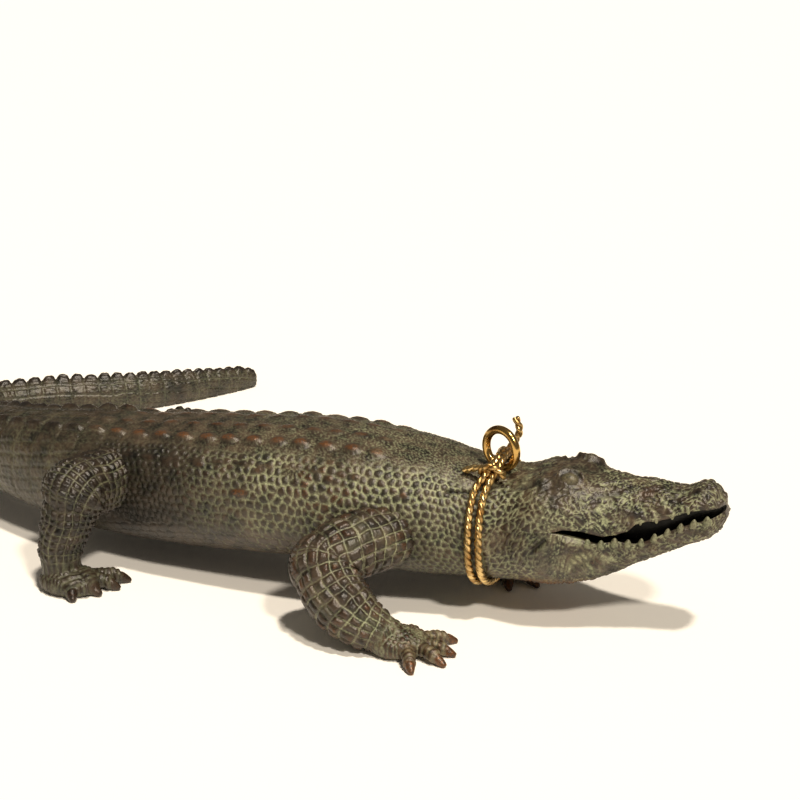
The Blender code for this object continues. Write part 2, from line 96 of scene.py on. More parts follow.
def smoothRows(rows, parts):
    # points on a smooth curve through table rows
    rows = np.array(rows, float)
    a, b, c, d = rows[[0, *range(len(rows) - 2)]], rows[:-1], rows[1:], rows[[*range(2, len(rows)), -1]]
    t = (np.arange(parts) / parts)[None, :, None]
    a, b, c, d = a[:, None], b[:, None], c[:, None], d[:, None]
    curve = 0.5 * (2 * b + (c - a) * t + (2 * a - 5 * b + 4 * c - d) * t**2 + (3 * b - a - 3 * c + d) * t**3)
    return np.vstack([curve.reshape(-1, rows.shape[1]), rows[-1:]])


def pick(places, values, where):
    return np.stack([np.interp(where, places, values[:, k]) for k in range(values.shape[1])], -1)


def measured(points):
    # mm from the first point to each one, along one row of points or along several
    gaps = np.linalg.norm(np.diff(points, axis=-2), axis=-1)
    return np.concatenate([np.zeros((*gaps.shape[:-1], 1)), np.cumsum(gaps, axis=-1)], axis=-1)


def carriedAlong(way, start):
    # a direction square to a line, carried along it without a twist
    side = np.zeros_like(way)
    carried = np.array(start, float)
    for i, forward in enumerate(way):
        carried = carried - forward * (carried @ forward)
        carried /= np.linalg.norm(carried)
        side[i] = carried
    return side


# Making meshes

def keepOnly(piece):
    bpy.ops.object.select_all(action="DESELECT")
    piece.select_set(True)
    bpy.context.view_layer.objects.active = piece


def outwards(grid):
    # the way out of a skin whose rows run along the animal and whose columns go round it
    along = np.gradient(grid, axis=0)
    across = np.gradient(grid, axis=1)
    across[:, 0] = across[:, -1] = grid[:, 1] - grid[:, -2]
    way = np.cross(along, across)
    way /= np.maximum(np.linalg.norm(way, axis=2, keepdims=True), 1e-9)
    return way * np.sign((way * (grid - grid.mean(1, keepdims=True))).sum())


def weld():
    bpy.ops.object.mode_set(mode="EDIT")
    bpy.ops.mesh.select_all(action="SELECT")
    bpy.ops.mesh.remove_doubles(threshold=1e-6)
    bpy.ops.mesh.normals_make_consistent(inside=False)
    bpy.ops.object.mode_set(mode="OBJECT")


def putMarks(mesh, marks):
    # what the patina reads at every point, from 0 to 1
    for mark, values in marks.items():
        layer = mesh.attributes.new(mark, "FLOAT", "POINT")
        layer.data.foreach_set("value", np.clip(values, 0, 1).astype(np.float32).ravel())


def tell(piece):
    print(piece.name, "has", sum(len(f.vertices) - 2 for f in piece.data.polygons), "triangles")


def skin(name, grid, marks):
    # a grid sheet rolled into a closed tube: its edges meet underneath and its two ends are drawn to a point
    rows, columns = grid.shape[:2]
    grid = grid.copy()
    for end in (0, -1):
        grid[end] = grid[end, :-1].mean(0)
    grid[:, -1] = grid[:, 0]
    bpy.ops.object.select_all(action="DESELECT")
    bpy.ops.mesh.primitive_grid_add(x_subdivisions=columns - 1, y_subdivisions=rows - 1, size=1)
    piece = bpy.context.object
    piece.name = piece.data.name = name
    place = (grid.reshape(-1, 3) + sheet) / 1000
    place[:, 2] = np.maximum(place[:, 2], 0)
    piece.data.vertices.foreach_set("co", place.ravel())
    putMarks(piece.data, marks)
    weld()
    bpy.ops.object.shade_smooth()
    tell(piece)
    return piece


def tube(points, radii, name, sides=12, closed=False):
    # a round bar along points in metres, as a mesh
    curve = bpy.data.curves.new(name, "CURVE")
    curve.dimensions = "3D"
    curve.bevel_depth = 1
    curve.bevel_resolution = max(sides // 2 - 2, 0)
    curve.use_fill_caps = not closed
    spline = curve.splines.new("POLY")
    spline.points.add(len(points) - 1)
    for target, point, radius in zip(spline.points, points, radii):
        target.co = (*point, 1)
        target.radius = radius
    spline.use_cyclic_u = closed
    piece = bpy.data.objects.new(name, curve)
    bpy.context.scene.collection.objects.link(piece)
    keepOnly(piece)
    bpy.ops.object.convert(target="MESH")
    weld()
    return bpy.context.object


def joined(pieces, name):
    bpy.ops.object.select_all(action="DESELECT")
    for piece in pieces:
        piece.select_set(True)
    bpy.context.view_layer.objects.active = pieces[0]
    if len(pieces) > 1:
        bpy.ops.object.join()
    piece = bpy.context.object
    piece.name = piece.data.name = name
    return piece


def belongs(piece, node, look):
    keepOnly(piece)
    bpy.ops.object.transform_apply(location=True, rotation=True, scale=True)
    piece.data.materials.clear()
    piece.data.materials.append(look)
    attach(piece, "root")
    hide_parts(node)


# Materials

def linear(code):
    parts = [int(code[i:i + 2], 16) / 255 for i in (1, 3, 5)]
    return tuple(c / 12.92 if c <= 0.04045 else ((c + 0.055) / 1.055) ** 2.4 for c in parts) + (1,)


def addNode(look, kind, settings=None, links=None):
    node = look.node_tree.nodes.new(kind)
    for key, value in (settings or {}).items():
        if key in node.inputs:
            node.inputs[key].default_value = value
        else:
            setattr(node, key, value)
    for key, source in (links or {}).items():
        look.node_tree.links.new(source, node.inputs[key])
    return node


def newLook(name):
    look = bpy.data.materials.new(name)
    look.use_nodes = True
    return look, look.node_tree.nodes["Principled BSDF"]


def cloud(look, size, detail, roughness=0.5):
    # noise with its blotches about size mm across
    place = addNode(look, "ShaderNodeTexCoord").outputs["Object"]
    settings = {"Scale": 1000 / size, "Detail": detail, "Roughness": roughness}
    return addNode(look, "ShaderNodeTexNoise", settings, {"Vector": place}).outputs["Fac"]


def painted(look, mark):
    return addNode(look, "ShaderNodeAttribute", {"attribute_name": mark}).outputs["Fac"]


def ranged(look, source, low, high, toLow=0.0, toHigh=1.0):
    settings = {"From Min": low, "From Max": high, "To Min": toLow, "To Max": toHigh}
    return addNode(look, "ShaderNodeMapRange", settings, {"Value": source}).outputs[0]


def product(look, first, second):
    settings = {"operation": "MULTIPLY", "use_clamp": True}
    return addNode(look, "ShaderNodeMath", settings, {0: first, 1: second}).outputs[0]


def blended(look, share, first, second):
    # from the first colour to the second, each a code or what another node gives
    node = addNode(look, "ShaderNodeMix", {"data_type": "RGBA"}, {0: share})
    for socket, colour in ((node.inputs[6], first), (node.inputs[7], second)):
        if isinstance(colour, str):
            socket.default_value = linear(colour)
        else:
            look.node_tree.links.new(colour, socket)
    return node.outputs[2]


def bumped(look, height, strength, deepness):
    settings = {"Strength": strength, "Distance": deepness}
    return addNode(look, "ShaderNodeBump", settings, {"Height": height}).outputs[0]


def wire(look, shader, sockets):
    for name, source in sockets.items():
        look.node_tree.links.new(source, shader.inputs[name])


bronzeLook = {
    "brown": "#514436",  # bare patina on the raised scales
    "black": "#17130e",  # patina in its darker blotches
    "shadow": "#050403",  # near black, laid on by the deep mark: painted shade in the mouth, the deepest folds, grooves and nostrils, under the keels and over the shaded rear and underside, and also the darkest patina
    "green": "#8a966f",  # verdigris in the grooves
    "paleGreen": "#bcbc98",
    "rubbed": "#85532c",  # metal that hands have rubbed through
    "blotch": (6.0, 5.0, 0.65),  # mm across, detail and roughness of the blotches of patina
    "grain": (0.9, 4.0, 0.7),  # the same of the grains of verdigris
    "pit": (0.55, 3.0, 0.6),  # and of the casting pits
    "brownFrom": (0.36, 0.62),  # where in a blotch the brown takes over from the black
    "coatFrom": (0.30, 0.62),  # where in a grain the verdigris holds
    "wearFrom": (0.38, 0.58),  # where in a grain the metal shows
    "roughness": (0.36, 0.74),  # without verdigris and under it
    "metallic": (0.12, 0.75),  # on the patina and where it is rubbed off
    "bump": (0.55, 0.00025),  # strength and metres of depth
}


def patinatedBronze(name, look):
    # sand-cast tin bronze: dark brown patina, verdigris left in its grooves, warm metal on its high places,
    # and painted shade, near black, where the deep mark lays it
    made, shader = newLook(name)
    blotch, grain, pit = (cloud(made, *look[key]) for key in ("blotch", "grain", "pit"))
    coat = product(made, painted(made, "verdigris"), ranged(made, grain, *look["coatFrom"]))
    wear = product(made, painted(made, "rubbed"), ranged(made, grain, *look["wearFrom"]))
    colour = blended(made, ranged(made, blotch, *look["brownFrom"]), look["black"], look["brown"])
    colour = blended(made, coat, colour, blended(made, blotch, look["green"], look["paleGreen"]))
    colour = blended(made, wear, colour, look["rubbed"])
    wire(made, shader, {
        # the deep mark blends in painted shade, near black, together with the darkest patina of pebbles,
        # cells and blocks
        "Base Color": blended(made, painted(made, "deep"), colour, look["shadow"]),
        "Roughness": ranged(made, coat, 0, 1, *look["roughness"]),
        "Metallic": ranged(made, wear, 0, 1, *look["metallic"]),
        "Normal": bumped(made, pit, *look["bump"]),
    })
    return made


# patch is mm across a patch of tarnish
ropeLook = {"bright": "#d9bb80", "tarnish": "#94703f", "roughness": (0.24, 0.39), "patch": 4.0}
ringLook = {"bright": "#c8a361", "tarnish": "#76532a", "roughness": (0.15, 0.30), "patch": 6.0}
tarnishFrom = (0.40, 0.66)  # where in a patch the tarnish takes over
drawnGrain = {"size": 0.5, "detail": 2.0, "strength": 0.2, "deepness": 0.0001}


def brass(name, look):
    # drawn 65/35 brass, lightly tarnished: warm yellow with browner patches
    made, shader = newLook(name)
    share = ranged(made, cloud(made, look["patch"], 3.0), *tarnishFrom)
    fine = cloud(made, drawnGrain["size"], drawnGrain["detail"])
    shader.inputs["Metallic"].default_value = 1.0
    wire(made, shader, {
        "Base Color": blended(made, share, look["bright"], look["tarnish"]),
        "Roughness": ranged(made, share, 0, 1, *look["roughness"]),
        "Normal": bumped(made, fine, drawnGrain["strength"], drawnGrain["deepness"]),
    })
    return made


castBronze = patinatedBronze("patinated cast bronze", bronzeLook)
ropeBrass = brass("twisted brass wire", ropeLook)
ringBrass = brass("polished brass", ringLook)
print("materials made")


# Trunk and tail

body = {
    "spine": (  # nape to tail's tip: x, y, height of the axis, half width, rise above, drop below
        (42, 0, 33, 16, 16, 15), (31, 0, 32.5, 20.5, 20, 19), (20, 0, 32, 21.5, 20.6, 18.8),
        (8, 0, 32, 24, 22.6, 19.4), (-10, 0, 32.5, 28, 25.2, 20), (-35, 0, 33.5, 30.5, 25.9, 20),
        (-65, 0, 33.5, 31, 24.4, 22), (-95, 0, 32, 29.5, 23, 23), (-120, 0, 30.5, 26, 22, 22),
        (-145, 1, 29, 21.5, 21.5, 20), (-170, 6, 27.5, 17.5, 19, 16), (-195, 17, 25, 14.5, 16.5, 14),
        (-220, 33, 19.5, 12.5, 14, 13.5), (-244, 54, 14.5, 10.8, 11.5, 12.5), (-258, 80, 11, 9.3, 9.5, 10.8),
        (-252, 104, 9, 8, 8, 9.2), (-233, 121, 8.8, 7.2, 8, 9), (-209, 139, 8.4, 6.2, 7.4, 8.6),
        (-189, 162, 7.2, 5, 6, 7.4), (-173, 186, 5.4, 3.6, 4.2, 5.6), (-168, 194, 4.2, 1.8, 2.2, 3.2)),
    "rounding": 0.84,  # fuller than an ellipse below 1
    "hips": 165.0,  # distance from the nape
    "backRow": 9.5,  # length of a row of scutes on the back, and of the last one on the tail
    "tipRow": 5.4,
    "grid": 0.52,  # mm between points on the right side, which is seen closest
    "farGrid": 0.80,
}
spine = smoothRows(body["spine"], 24)
run = np.concatenate([[0], np.cumsum(np.hypot(*np.diff(spine[:, :2], axis=0).T))])
tailEnd = run[-1]
nape = body["spine"][0][0]


def bodySkin(s, degrees):
    here = pick(run, spine, s)
    ahead, behind = pick(run, spine, np.maximum(s - 1, 0)), pick(run, spine, np.minimum(s + 1, tailEnd))
    forward = ahead[:, :2] - behind[:, :2]
    forward /= np.linalg.norm(forward, axis=1, keepdims=True)
    angle = np.radians(np.abs(degrees))
    across = np.sign(degrees) * np.sin(angle) ** body["rounding"]
    up = np.sign(np.cos(angle)) * np.abs(np.cos(angle)) ** body["rounding"]
    out = here[:, 3:4] * across
    lift = np.where(up > 0, here[:, 4:5], here[:, 5:6]) * up
    x = here[:, :1] - forward[:, 1:] * out
    y = here[:, 1:2] + forward[:, :1] * out
    return np.stack([x, y, here[:, 2:3] + lift], -1)


def evenDegrees(s, near, far):
    # angles that lie evenly on the skin at one place, closer together on the right side than on the left
    fine = np.linspace(0, 180, 721)
    girth = measured(bodySkin(np.array([s]), fine)[0])
    half = girth[-1]
    right = np.interp(np.linspace(half, 0, int(half / near) + 1), girth, fine)
    left = np.interp(np.linspace(0, half, int(half / far) + 1), girth, fine)
    return np.concatenate([-right, left[1:]])


def girthFrom(base, degrees):
    # mm round the skin from the ridge of the back, below zero on the right
    v = measured(base)
    return v - v[:, [int(np.argmin(np.abs(degrees)))]]


def girthAt(s, angle):
    # mm round the skin from the ridge to an angle, at each distance from the nape
    picks = np.linspace(s[0], s[-1], 60)
    girth = measured(bodySkin(picks, np.linspace(0, 180, 181)))
    return np.interp(s, picks, girth[:, angle])[:, None]


rowStarts = [0.0]
while rowStarts[-1] < tailEnd - body["tipRow"]:
    grown = step(body["hips"], tailEnd, rowStarts[-1])
    rowStarts.append(rowStarts[-1] + body["backRow"] + (body["tipRow"] - body["backRow"]) * grown)
rowStarts = np.array(rowStarts)


def rowOf(s):
    index = np.clip(np.searchsorted(rowStarts, s, side="right") - 1, 0, len(rowStarts) - 2)
    length = rowStarts[index + 1] - rowStarts[index]
    return index, length, (s - rowStarts[index]) / length


scutes = {
    "degrees": (9, 27, 52),  # rows of keeled scutes down each side of the back
    "heights": (1.0, 1.8, 0.6),
    "halfWidths": (2.7, 3.1, 1.6),
    "wear": (0.35, 0.62, 0.10),  # how far the keels are rubbed
    "halfLength": 0.42,  # of a row
    "leftShare": 0.65,  # the left side's keels are more worn down
    "knobs": (  # x, degrees, half length, half width, height, wear: odd scutes on the right flank
        (-66, -76, 4.2, 1.7, 0.8, 0.7), (-60, -56, 2.0, 1.5, 0.9, 0.3), (-33, -57, 2.0, 1.7, 1.0, 0.25),
        (-24, -52, 2.0, 1.6, 0.9, 0.2), (-84, -55, 2.4, 1.4, 0.8, 0.2), (-98, -55, 2.4, 1.4, 0.7, 0.1),
        (-6, -60, 1.8, 1.5, 0.7, 0.3)),
    "fan": (-47, -50, 6.5),  # x, degrees and reach of the pinched skin behind the shoulder
    "warm": (-35, -64, 11, 8),  # x, degrees and reaches of a patch of rubbed pebbles
}
trunkSkin = {
    "pebble": 2.35,  # mm across a pebble of the flank
    "pebbleGrows": (0.75, -0.55),  # behind the neck, and from there to the hips
    "pebbleHeight": 0.55,
    "crepe": (1.5, 1.25), "crepeHeight": 0.26,  # wrinkled skin of the back, mm along and round
    "plate": (4.3, 3.9), "plateHeight": 0.36,  # squarer scales of the belly
    "slit": (12.5, 47),  # x and degrees of the deep fold of the neck
    "slitDepth": 1.3,
}


def dressTrunk(base, s, degrees, v):
    x = base[..., 0]
    u = np.broadcast_to(s[:, None], v.shape)
    side = np.abs(np.broadcast_to(degrees[None, :], v.shape))
    rightSide = np.broadcast_to(degrees[None, :] < 0, v.shape)
    mirror = np.where(rightSide, 1, 2)
    # pebbled flanks, finer on the neck and towards the hips
    behindNeck, toHips = trunkSkin["pebbleGrows"]
    size = trunkSkin["pebble"] + behindNeck * step(12, -25, x) + toHips * step(-70, -115, x)
    size = (size + 0.2 * waver(u, v, 22, 3)).mean(1)
    along = np.concatenate([[0], np.cumsum(np.diff(s) / size[1:])])
    pebbleU = along[:, None] + 0.3 * waver(u, v, 9, 4)
    pebbleV = v / size[:, None] + 0.3 * waver(u, v, 9, 5)
    border, number = stones(pebbleU, pebbleV + 40 * mirror, 11, 0.55)
    pebble, net = step(0.04, 0.26, border), 1 - step(0.06, 0.15, border)
    # fine wrinkled skin between the scutes of the back
    long, wide = trunkSkin["crepe"]
    border, _ = stones(u / long + 0.5 * waver(u, v, 4, 6), v / wide, 12, 0.9)
    crepe, crepeNet = step(0.02, 0.3, border), 1 - step(0.04, 0.14, border)
    # squarer belly scales in rows
    long, wide = trunkSkin["plate"]
    border, _ = stones(u / long, v / wide, 13, 0.16)
    plate, plateNet = step(0.02, 0.10, border), 1 - step(0.015, 0.05, border)
    back = 1 - step(30, 46, side + 6 * waver(u, v, 14, 7))
    belly = step(100, 112, side + 5 * waver(u, v, 12, 8)) * step(4, -14, x)
    flank = np.clip(1 - back - belly, 0, 1)
    height = trunkSkin["pebbleHeight"] * pebble * flank + trunkSkin["crepeHeight"] * crepe * back
    height += trunkSkin["plateHeight"] * plate * belly
    # the verdigris in the back's wrinkles is laid on thick: real patina, and also a painted sheen where
    # light from above falls on the back
    verdigris = net * flank + 0.62 * crepeNet * back + 0.8 * plateNet * belly
    warmX, warmAt, warmLong, warmDown = scutes["warm"]
    warm = np.exp(-(((x - warmX) / warmLong) ** 2) - ((v + girthAt(s, -warmAt)) / warmDown) ** 2)
    rubbed = pebble * (0.15 * flank * step(0.72, 0.98, number) + 0.75 * warm * step(0.15, 0.6, number))
    # keeled scutes
    index, length, phase = rowOf(u)
    keels, under = np.zeros(v.shape), np.zeros(v.shape)
    zone = step(-6, -30, x)
    lines = zip(scutes["degrees"], scutes["heights"], scutes["halfWidths"], scutes["wear"])
    for angle, tall, wide, worn in lines:
        down = np.where(rightSide, -v, v) - girthAt(s, angle)
        jitter = scatter(index, angle, mirror) - 0.5
        off = (phase - 0.50 - 0.08 * jitter) / scutes["halfLength"]
        lens = np.clip(1 - off**2, 0, 1)
        width = wide * np.sqrt(lens) * np.where(down > 0, 0.8, 1.3) + 0.01
        dome = np.clip(1 - (np.abs(down) / width) ** 1.7, 0, 1)
        ridge = dome * lens**0.7
        # painted shadow: a dark band on the skin just below each keel, gathered in under
        shadow = np.exp(-((down - 0.75 * wide) ** 2))
        under = np.maximum(under, 0.6 * worn * zone * lens**0.5 * shadow)
        size = tall * (0.9 + 0.35 * jitter) * zone * (1 if angle < 40 else step(-20, -40, x))
        size = size * np.where(rightSide, 1, scutes["leftShare"])
        keels = np.maximum(keels, ridge * size)
        rubbed = np.maximum(rubbed, step(0.60, 0.92, ridge) * zone * worn)
        cover = step(0.15, 0.7, ridge) * zone
        verdigris = verdigris * (1 - 0.9 * cover)
        height = height * (1 - 0.6 * cover)
    # odd scutes and the pinched skin on the right flank
    for knobX, knobAt, halfLong, halfWide, tall, worn in scutes["knobs"]:
        away = np.hypot((x - knobX) / halfLong, (v + girthAt(s, -knobAt)) / halfWide)
        dome = np.clip(1 - away**2, 0, 1)
        keels += tall * dome
        rubbed = np.maximum(rubbed, worn * step(0.2, 0.8, dome))
        verdigris = verdigris * (1 - step(0, 0.4, dome))
        height = height * (1 - step(0, 0.4, dome))
    fanX, fanAt, reach = scutes["fan"]
    across, down = x - fanX, v + girthAt(s, -fanAt)
    away, turn = np.hypot(across, down), np.arctan2(down, across)
    fan = np.clip(1 - away / reach, 0, 1) * rightSide * step(-2.6, -0.5, -np.abs(turn + 1.6))
    folds = np.cos(15 * turn) * step(0.4, 1.5, away)
    height = height * (1 - step(0, 0.5, fan)) + 0.5 * fan * folds
    verdigris = verdigris * (1 - step(0, 0.4, fan)) + step(0, 0.4, fan) * step(0.1, -0.8, folds) * 0.9
    # wrinkles and the deep fold of the neck
    slitX, slitAt = trunkSkin["slit"]
    fold = np.hypot(np.maximum(np.abs(x - slitX) - 4.5, 0) / 1.2, (side - slitAt + 0.5 * (x - 12)) / 2.6)
    slit = np.clip(1 - fold, 0, 1) * rightSide
    height -= trunkSkin["slitDepth"] * step(0, 0.8, slit)
    creases = np.sin(u / 1.35 + 2.2 * waver(u, v, 7, 15)) * step(-12, 8, x) * (1 - step(75, 110, side))
    height += 0.14 * creases
    height += 0.35 * waver(u, v, 16, 16) + 0.12 * waver(u, v, 5, 17)
    fade = 0.22 + 0.78 * step(-105, -50, x)
    verdigris = verdigris * fade * (0.85 + 0.35 * waver(u, v, 13, 18)) + 0.06 * flank * fade
    # painted shade: the flank and belly darken towards the hips, and the underside darkens
    shadeAndDarkPatina = 0.62 * step(-50, -105, x) * flank + 0.35 * step(-60, -110, x) * belly
    shadeAndDarkPatina += 0.22 * step(75, 110, side)
    # the pebbles' own darker patina between their green lines
    shadeAndDarkPatina = np.maximum(shadeAndDarkPatina, 0.40 * pebble * (1 - net) * flank)
    # the deep mark: painted shade in the neck's fold and under the keels, with the painted shade and dark
    # patina above
    deep = np.maximum(np.maximum(step(0.3, 0.9, slit), under), shadeAndDarkPatina)
    return height + keels, {"verdigris": verdigris, "rubbed": rubbed, "deep": deep}


tailDress = {
    "paired": 27,  # degrees of the double crest on the tail's first half
    "crest": 2.7,  # its height
    "column": 4.6,  # mm between the lengthwise lines of scales
    "nearShare": 0.45,  # height of the crest's right line against its left one
}


def dressTail(base, s, degrees, v):
    u = np.broadcast_to(s[:, None], v.shape)
    side = np.abs(np.broadcast_to(degrees[None, :], v.shape))
    rightSide = np.broadcast_to(degrees[None, :] < 0, v.shape)
    index, length, phase = rowOf(u)
    alongTail = (u - body["hips"]) / (tailEnd - body["hips"])
    # rings of squarish scales
    columns = v / tailDress["column"] + 0.12 * waver(u, v, 8, 21)
    acrossLine = np.abs(np.mod(columns, 1) - 0.5) * 2
    alongLine = np.abs(np.mod(phase + 0.05 * waver(u, v, 5, 22), 1) - 0.5) * 2
    edge = np.minimum((1 - acrossLine) * tailDress["column"], (1 - alongLine) * length) / 2
    scale, net = step(0.0, 0.8, edge), 1 - step(0.10, 0.34, edge)
    number = scatter(index, np.floor(columns), np.where(rightSide, 1, 2))
    border, _ = stones(u / 1.9 + 0.4 * waver(u, v, 4, 25), v / 1.7, 26, 0.9)
    grit, gritNet = step(0.02, 0.3, border), 1 - step(0.05, 0.16, border)
    height = 0.50 * scale + 0.20 * (number - 0.5) + 0.16 * waver(u, v, 1.5, 23) + 0.24 * grit
    # crest scutes: two lines first, then one
    paired = step(-0.05, 0.12, alongTail) * (1 - step(0.40, 0.50, alongTail))
    single = step(0.40, 0.50, alongTail) * (1 - 0.40 * step(0.6, 1.0, alongTail))
    saw = np.clip(1 - np.abs((phase - 0.56) / 0.45) ** 2.4, 0, 1) ** 0.6
    crest = np.zeros(v.shape)
    pairAt = girthAt(s, tailDress["paired"])
    nearPaired = tailDress["nearShare"] * paired
    lines = ((pairAt, paired, 2.1), (-pairAt, nearPaired, 2.1), (0 * pairAt, single, 2.2))
    for where, amount, thick in lines:
        blade = np.clip(1 - (np.abs(v - where) / thick) ** 2, 0, 1) ** 0.7
        crest = np.maximum(crest, amount * saw * blade)
    back = (1 - step(0.0, 0.10, alongTail)) * (1 - step(30, 46, side))
    keel = np.zeros(v.shape)
    for angle, tall, wide in zip(scutes["degrees"][:2], scutes["heights"], scutes["halfWidths"]):
        at = np.abs(np.abs(v) - girthAt(s, angle))
        lens = np.clip(1 - ((phase - 0.52) / scutes["halfLength"]) ** 2, 0, 1)
        dome = np.clip(1 - (at / (wide * np.sqrt(lens) + 0.01)) ** 1.5, 0, 1)
        keel = np.maximum(keel, tall * lens**0.6 * dome)
    keel = keel * back
    height += crest * tailDress["crest"] * (0.9 + 0.25 * (number - 0.5)) + keel
    patchy = 0.62 + 0.45 * waver(u, v, 10, 24)
    verdigris = (np.maximum(0.50 * net, 0.32 * gritNet) + 0.05) * (1 - step(0.1, 0.4, crest)) * patchy
    rubbed = 0.4 * step(0.6, 1.0, keel / 1.8) + 0.10 * step(0.7, 1, number) * scale
    # painted shade over the whole tail, and the crest's own darker patina
    shadeAndDarkPatina = 0.44 + 0.20 * step(0.15, 0.5, crest)
    return height, {"verdigris": verdigris, "rubbed": rubbed, "deep": shadeAndDarkPatina}


split = rowStarts[20]  # mm from the nape, a groove where the trunk's piece ends and the tail's starts
for name, start, end, dress, near, far in (
    ("trunk", 20.0, split + 2, dressTrunk, body["grid"], body["farGrid"]),
    ("tail", split - 2, tailEnd, dressTail, 0.55, 0.72),
):
    s = np.linspace(start, end, int((end - start) / near) + 1)
    degrees = evenDegrees(95.0 if name == "trunk" else 215.0, near, far)
    base = bodySkin(s, degrees)
    v = girthFrom(base, degrees)
    height, marks = dress(base, s, degrees, v)
    if name == "trunk":
        share = step(158, split - 3, s)[:, None]  # the pebbles give way to the tail's rings
        tailHeight, tailMarks = dressTail(base, s, degrees, v)
        height = height + (tailHeight - height) * share
        marks = {mark: marks[mark] + (tailMarks[mark] - marks[mark]) * share for mark in marks}
        height = height - 2.2 * step(21.5, 24.5, base[..., 0])  # sinks into the head under the collar
        height = height - 0.8 * step(split - 0.5, split + 1.8, s)[:, None]  # and into the tail
    else:
        height = height - 0.8 * step(split + 0.5, split - 1.8, s)[:, None]
    grid = base + outwards(base) * height[..., None]
    belongs(skin(name, grid, marks), "alligator", castBronze)


# Head

head = {
    "skull": (  # x, half width, top, lip
        (27, 19, 51.5, 36), (31, 21.6, 53, 36), (38, 22.9, 54.6, 37), (43, 22.8, 55.3, 38),
        (46, 22, 55.6, 38.6), (50, 20.5, 55.6, 39.9), (56, 18, 55, 39.4), (60, 16.2, 54.4, 38.1),
        (63, 15, 54, 37.4), (67, 13.7, 53.8, 38.3), (70.5, 12.5, 53.8, 39.6), (73, 11.8, 53.8, 42),
        (76, 11.1, 53.8, 43.3), (80.5, 10.2, 53.6, 43.8), (85, 9.5, 53.4, 45.6),
        (88, 9.1, 53.4, 47.1), (91, 8.8, 54.4, 48.4), (94.5, 8.6, 55.4, 49.2),
        (98, 7.7, 54.4, 49.5), (100, 5.6, 52.4, 49.7), (101, 3, 50.8, 49.9), (101.6, 0.8, 50.1, 49.6)),
    "jaw": (  # x, half width, lip, underside
        (27, 18.5, 38, 14), (33, 21, 39, 13.5), (42, 22.2, 40, 14), (46, 21.9, 39.6, 14.4),
        (50, 20.4, 38.6, 15.2), (56, 18.2, 37.2, 16.8), (60, 16.5, 35.4, 18.4), (63, 15.3, 36, 20.2),
        (67, 14, 36.8, 22.5), (71, 12.7, 36.4, 24.8), (75, 11.6, 37, 27.2), (80, 10.5, 39.4, 29.8),
        (86, 9.7, 42.6, 32.8), (91, 9.1, 45, 35.1),
        (95, 8.8, 46.4, 37.0), (98.2, 8, 47.4, 39.2), (100.4, 6, 48.4, 41.8), (101.6, 2.4, 48.9, 45.8)),
    "corner": 46.0,  # x of the mouth's corner
    "grid": 0.42,
    "bulges": (  # x, y, height, reach along, reach round, how far out
        (49.2, -10.0, 54.4, 5.4, 4.4, 2.9), (50.5, 10.0, 54.0, 5.4, 4.4, 2.6),  # brows
        (94.2, -3.2, 54.2, 4.2, 3.6, 1.4), (94.2, 3.2, 54.2, 4.2, 3.6, 1.4),  # nostrils
        (38, -20, 27, 9, 8, 1.0), (38, 20, 27, 9, 8, 1.0),  # jaw muscles
        (52, -19.5, 35.0, 5.5, 3.2, 1.3), (52, 19.5, 35.0, 5.5, 3.2, 1.3),  # corners of the lips
        (40, -13, 53.0, 5, 2.5, 0.8), (40, 13, 53.0, 5, 2.5, 0.8)),  # edges of the skull's roof
    "grooves": (  # from point to point on the right side and its mirror, half width, depth
        ((31, -14.5, 50.6), (43, -13.0, 53.4), 1.0, 1.0),  # under the edge of the skull's roof
        ((39.3, -19.5, 47.5), (39.6, -16.0, 51.0), 0.6, 1.0),
        ((39.6, -16.0, 51.0), (43, -11.0, 54.0), 0.6, 0.9),
        ((45.0, -14.5, 53.2), (49.5, -14.6, 53.4), 0.6, 0.7),
        ((46.5, -17.9, 49.8), (50.5, -15.2, 51.8), 0.5, 0.4),
        ((45.2, -21.8, 37.2), (39.5, -21.8, 31.2), 0.8, 1.1),  # fold behind the corner of the mouth
        ((57, -12.5, 51.0), (68, -8.5, 52.0), 1.2, 0.35)),
    "eye": ((49.9, -11.0, 54.3), (50.6, 10.8, 53.7), 2.3),  # right, left, radius
    "eyeball": 2.45,
    "nostrils": ((95.0, -2.7), (95.0, 2.7)),
    "pit": (1.75, 1.6), "pitHeight": 0.46,  # mm along and round between the grooves of the snout
    "pebble": (2.4, 2.2), "pebbleHeight": 0.40,  # of the cheek
    "bead": (3.2, 2.9), "beadHeight": 0.75,  # of the lower jaw
    "socket": 4.3,  # mm between the gum's bumps
}
skullRows, jawRows = np.array(head["skull"]), np.array(head["jaw"])


def softened(rows, x, column, spread=1.6):
    # a column of the table with its corners rounded over about spread mm, but for the snout's end
    fine = np.arange(14, 104, 0.2)
    values = np.interp(fine, rows[:, 0], rows[:, column])
    bell = np.exp(-0.5 * (np.arange(-25, 26) * 0.2 / spread) ** 2)
    values = np.convolve(np.pad(values, 25, mode="edge"), bell / bell.sum(), mode="valid")
    sharp = np.interp(x, rows[:, 0], rows[:, column])
    return sharp + (np.interp(x, fine, values) - sharp) * step(101, 96, x)


def archAngles(count):
    # from 90 degrees to 0, closer together at both ends, where the section turns slowly
    t = np.linspace(1, 0, count) ** 1.2
    return math.pi / 2 * t / (t + t[::-1])


jawColumns, mouthColumns, skullColumns = 62, 9, 74  # underside to lip, lip to the mouth's depth, lip to top


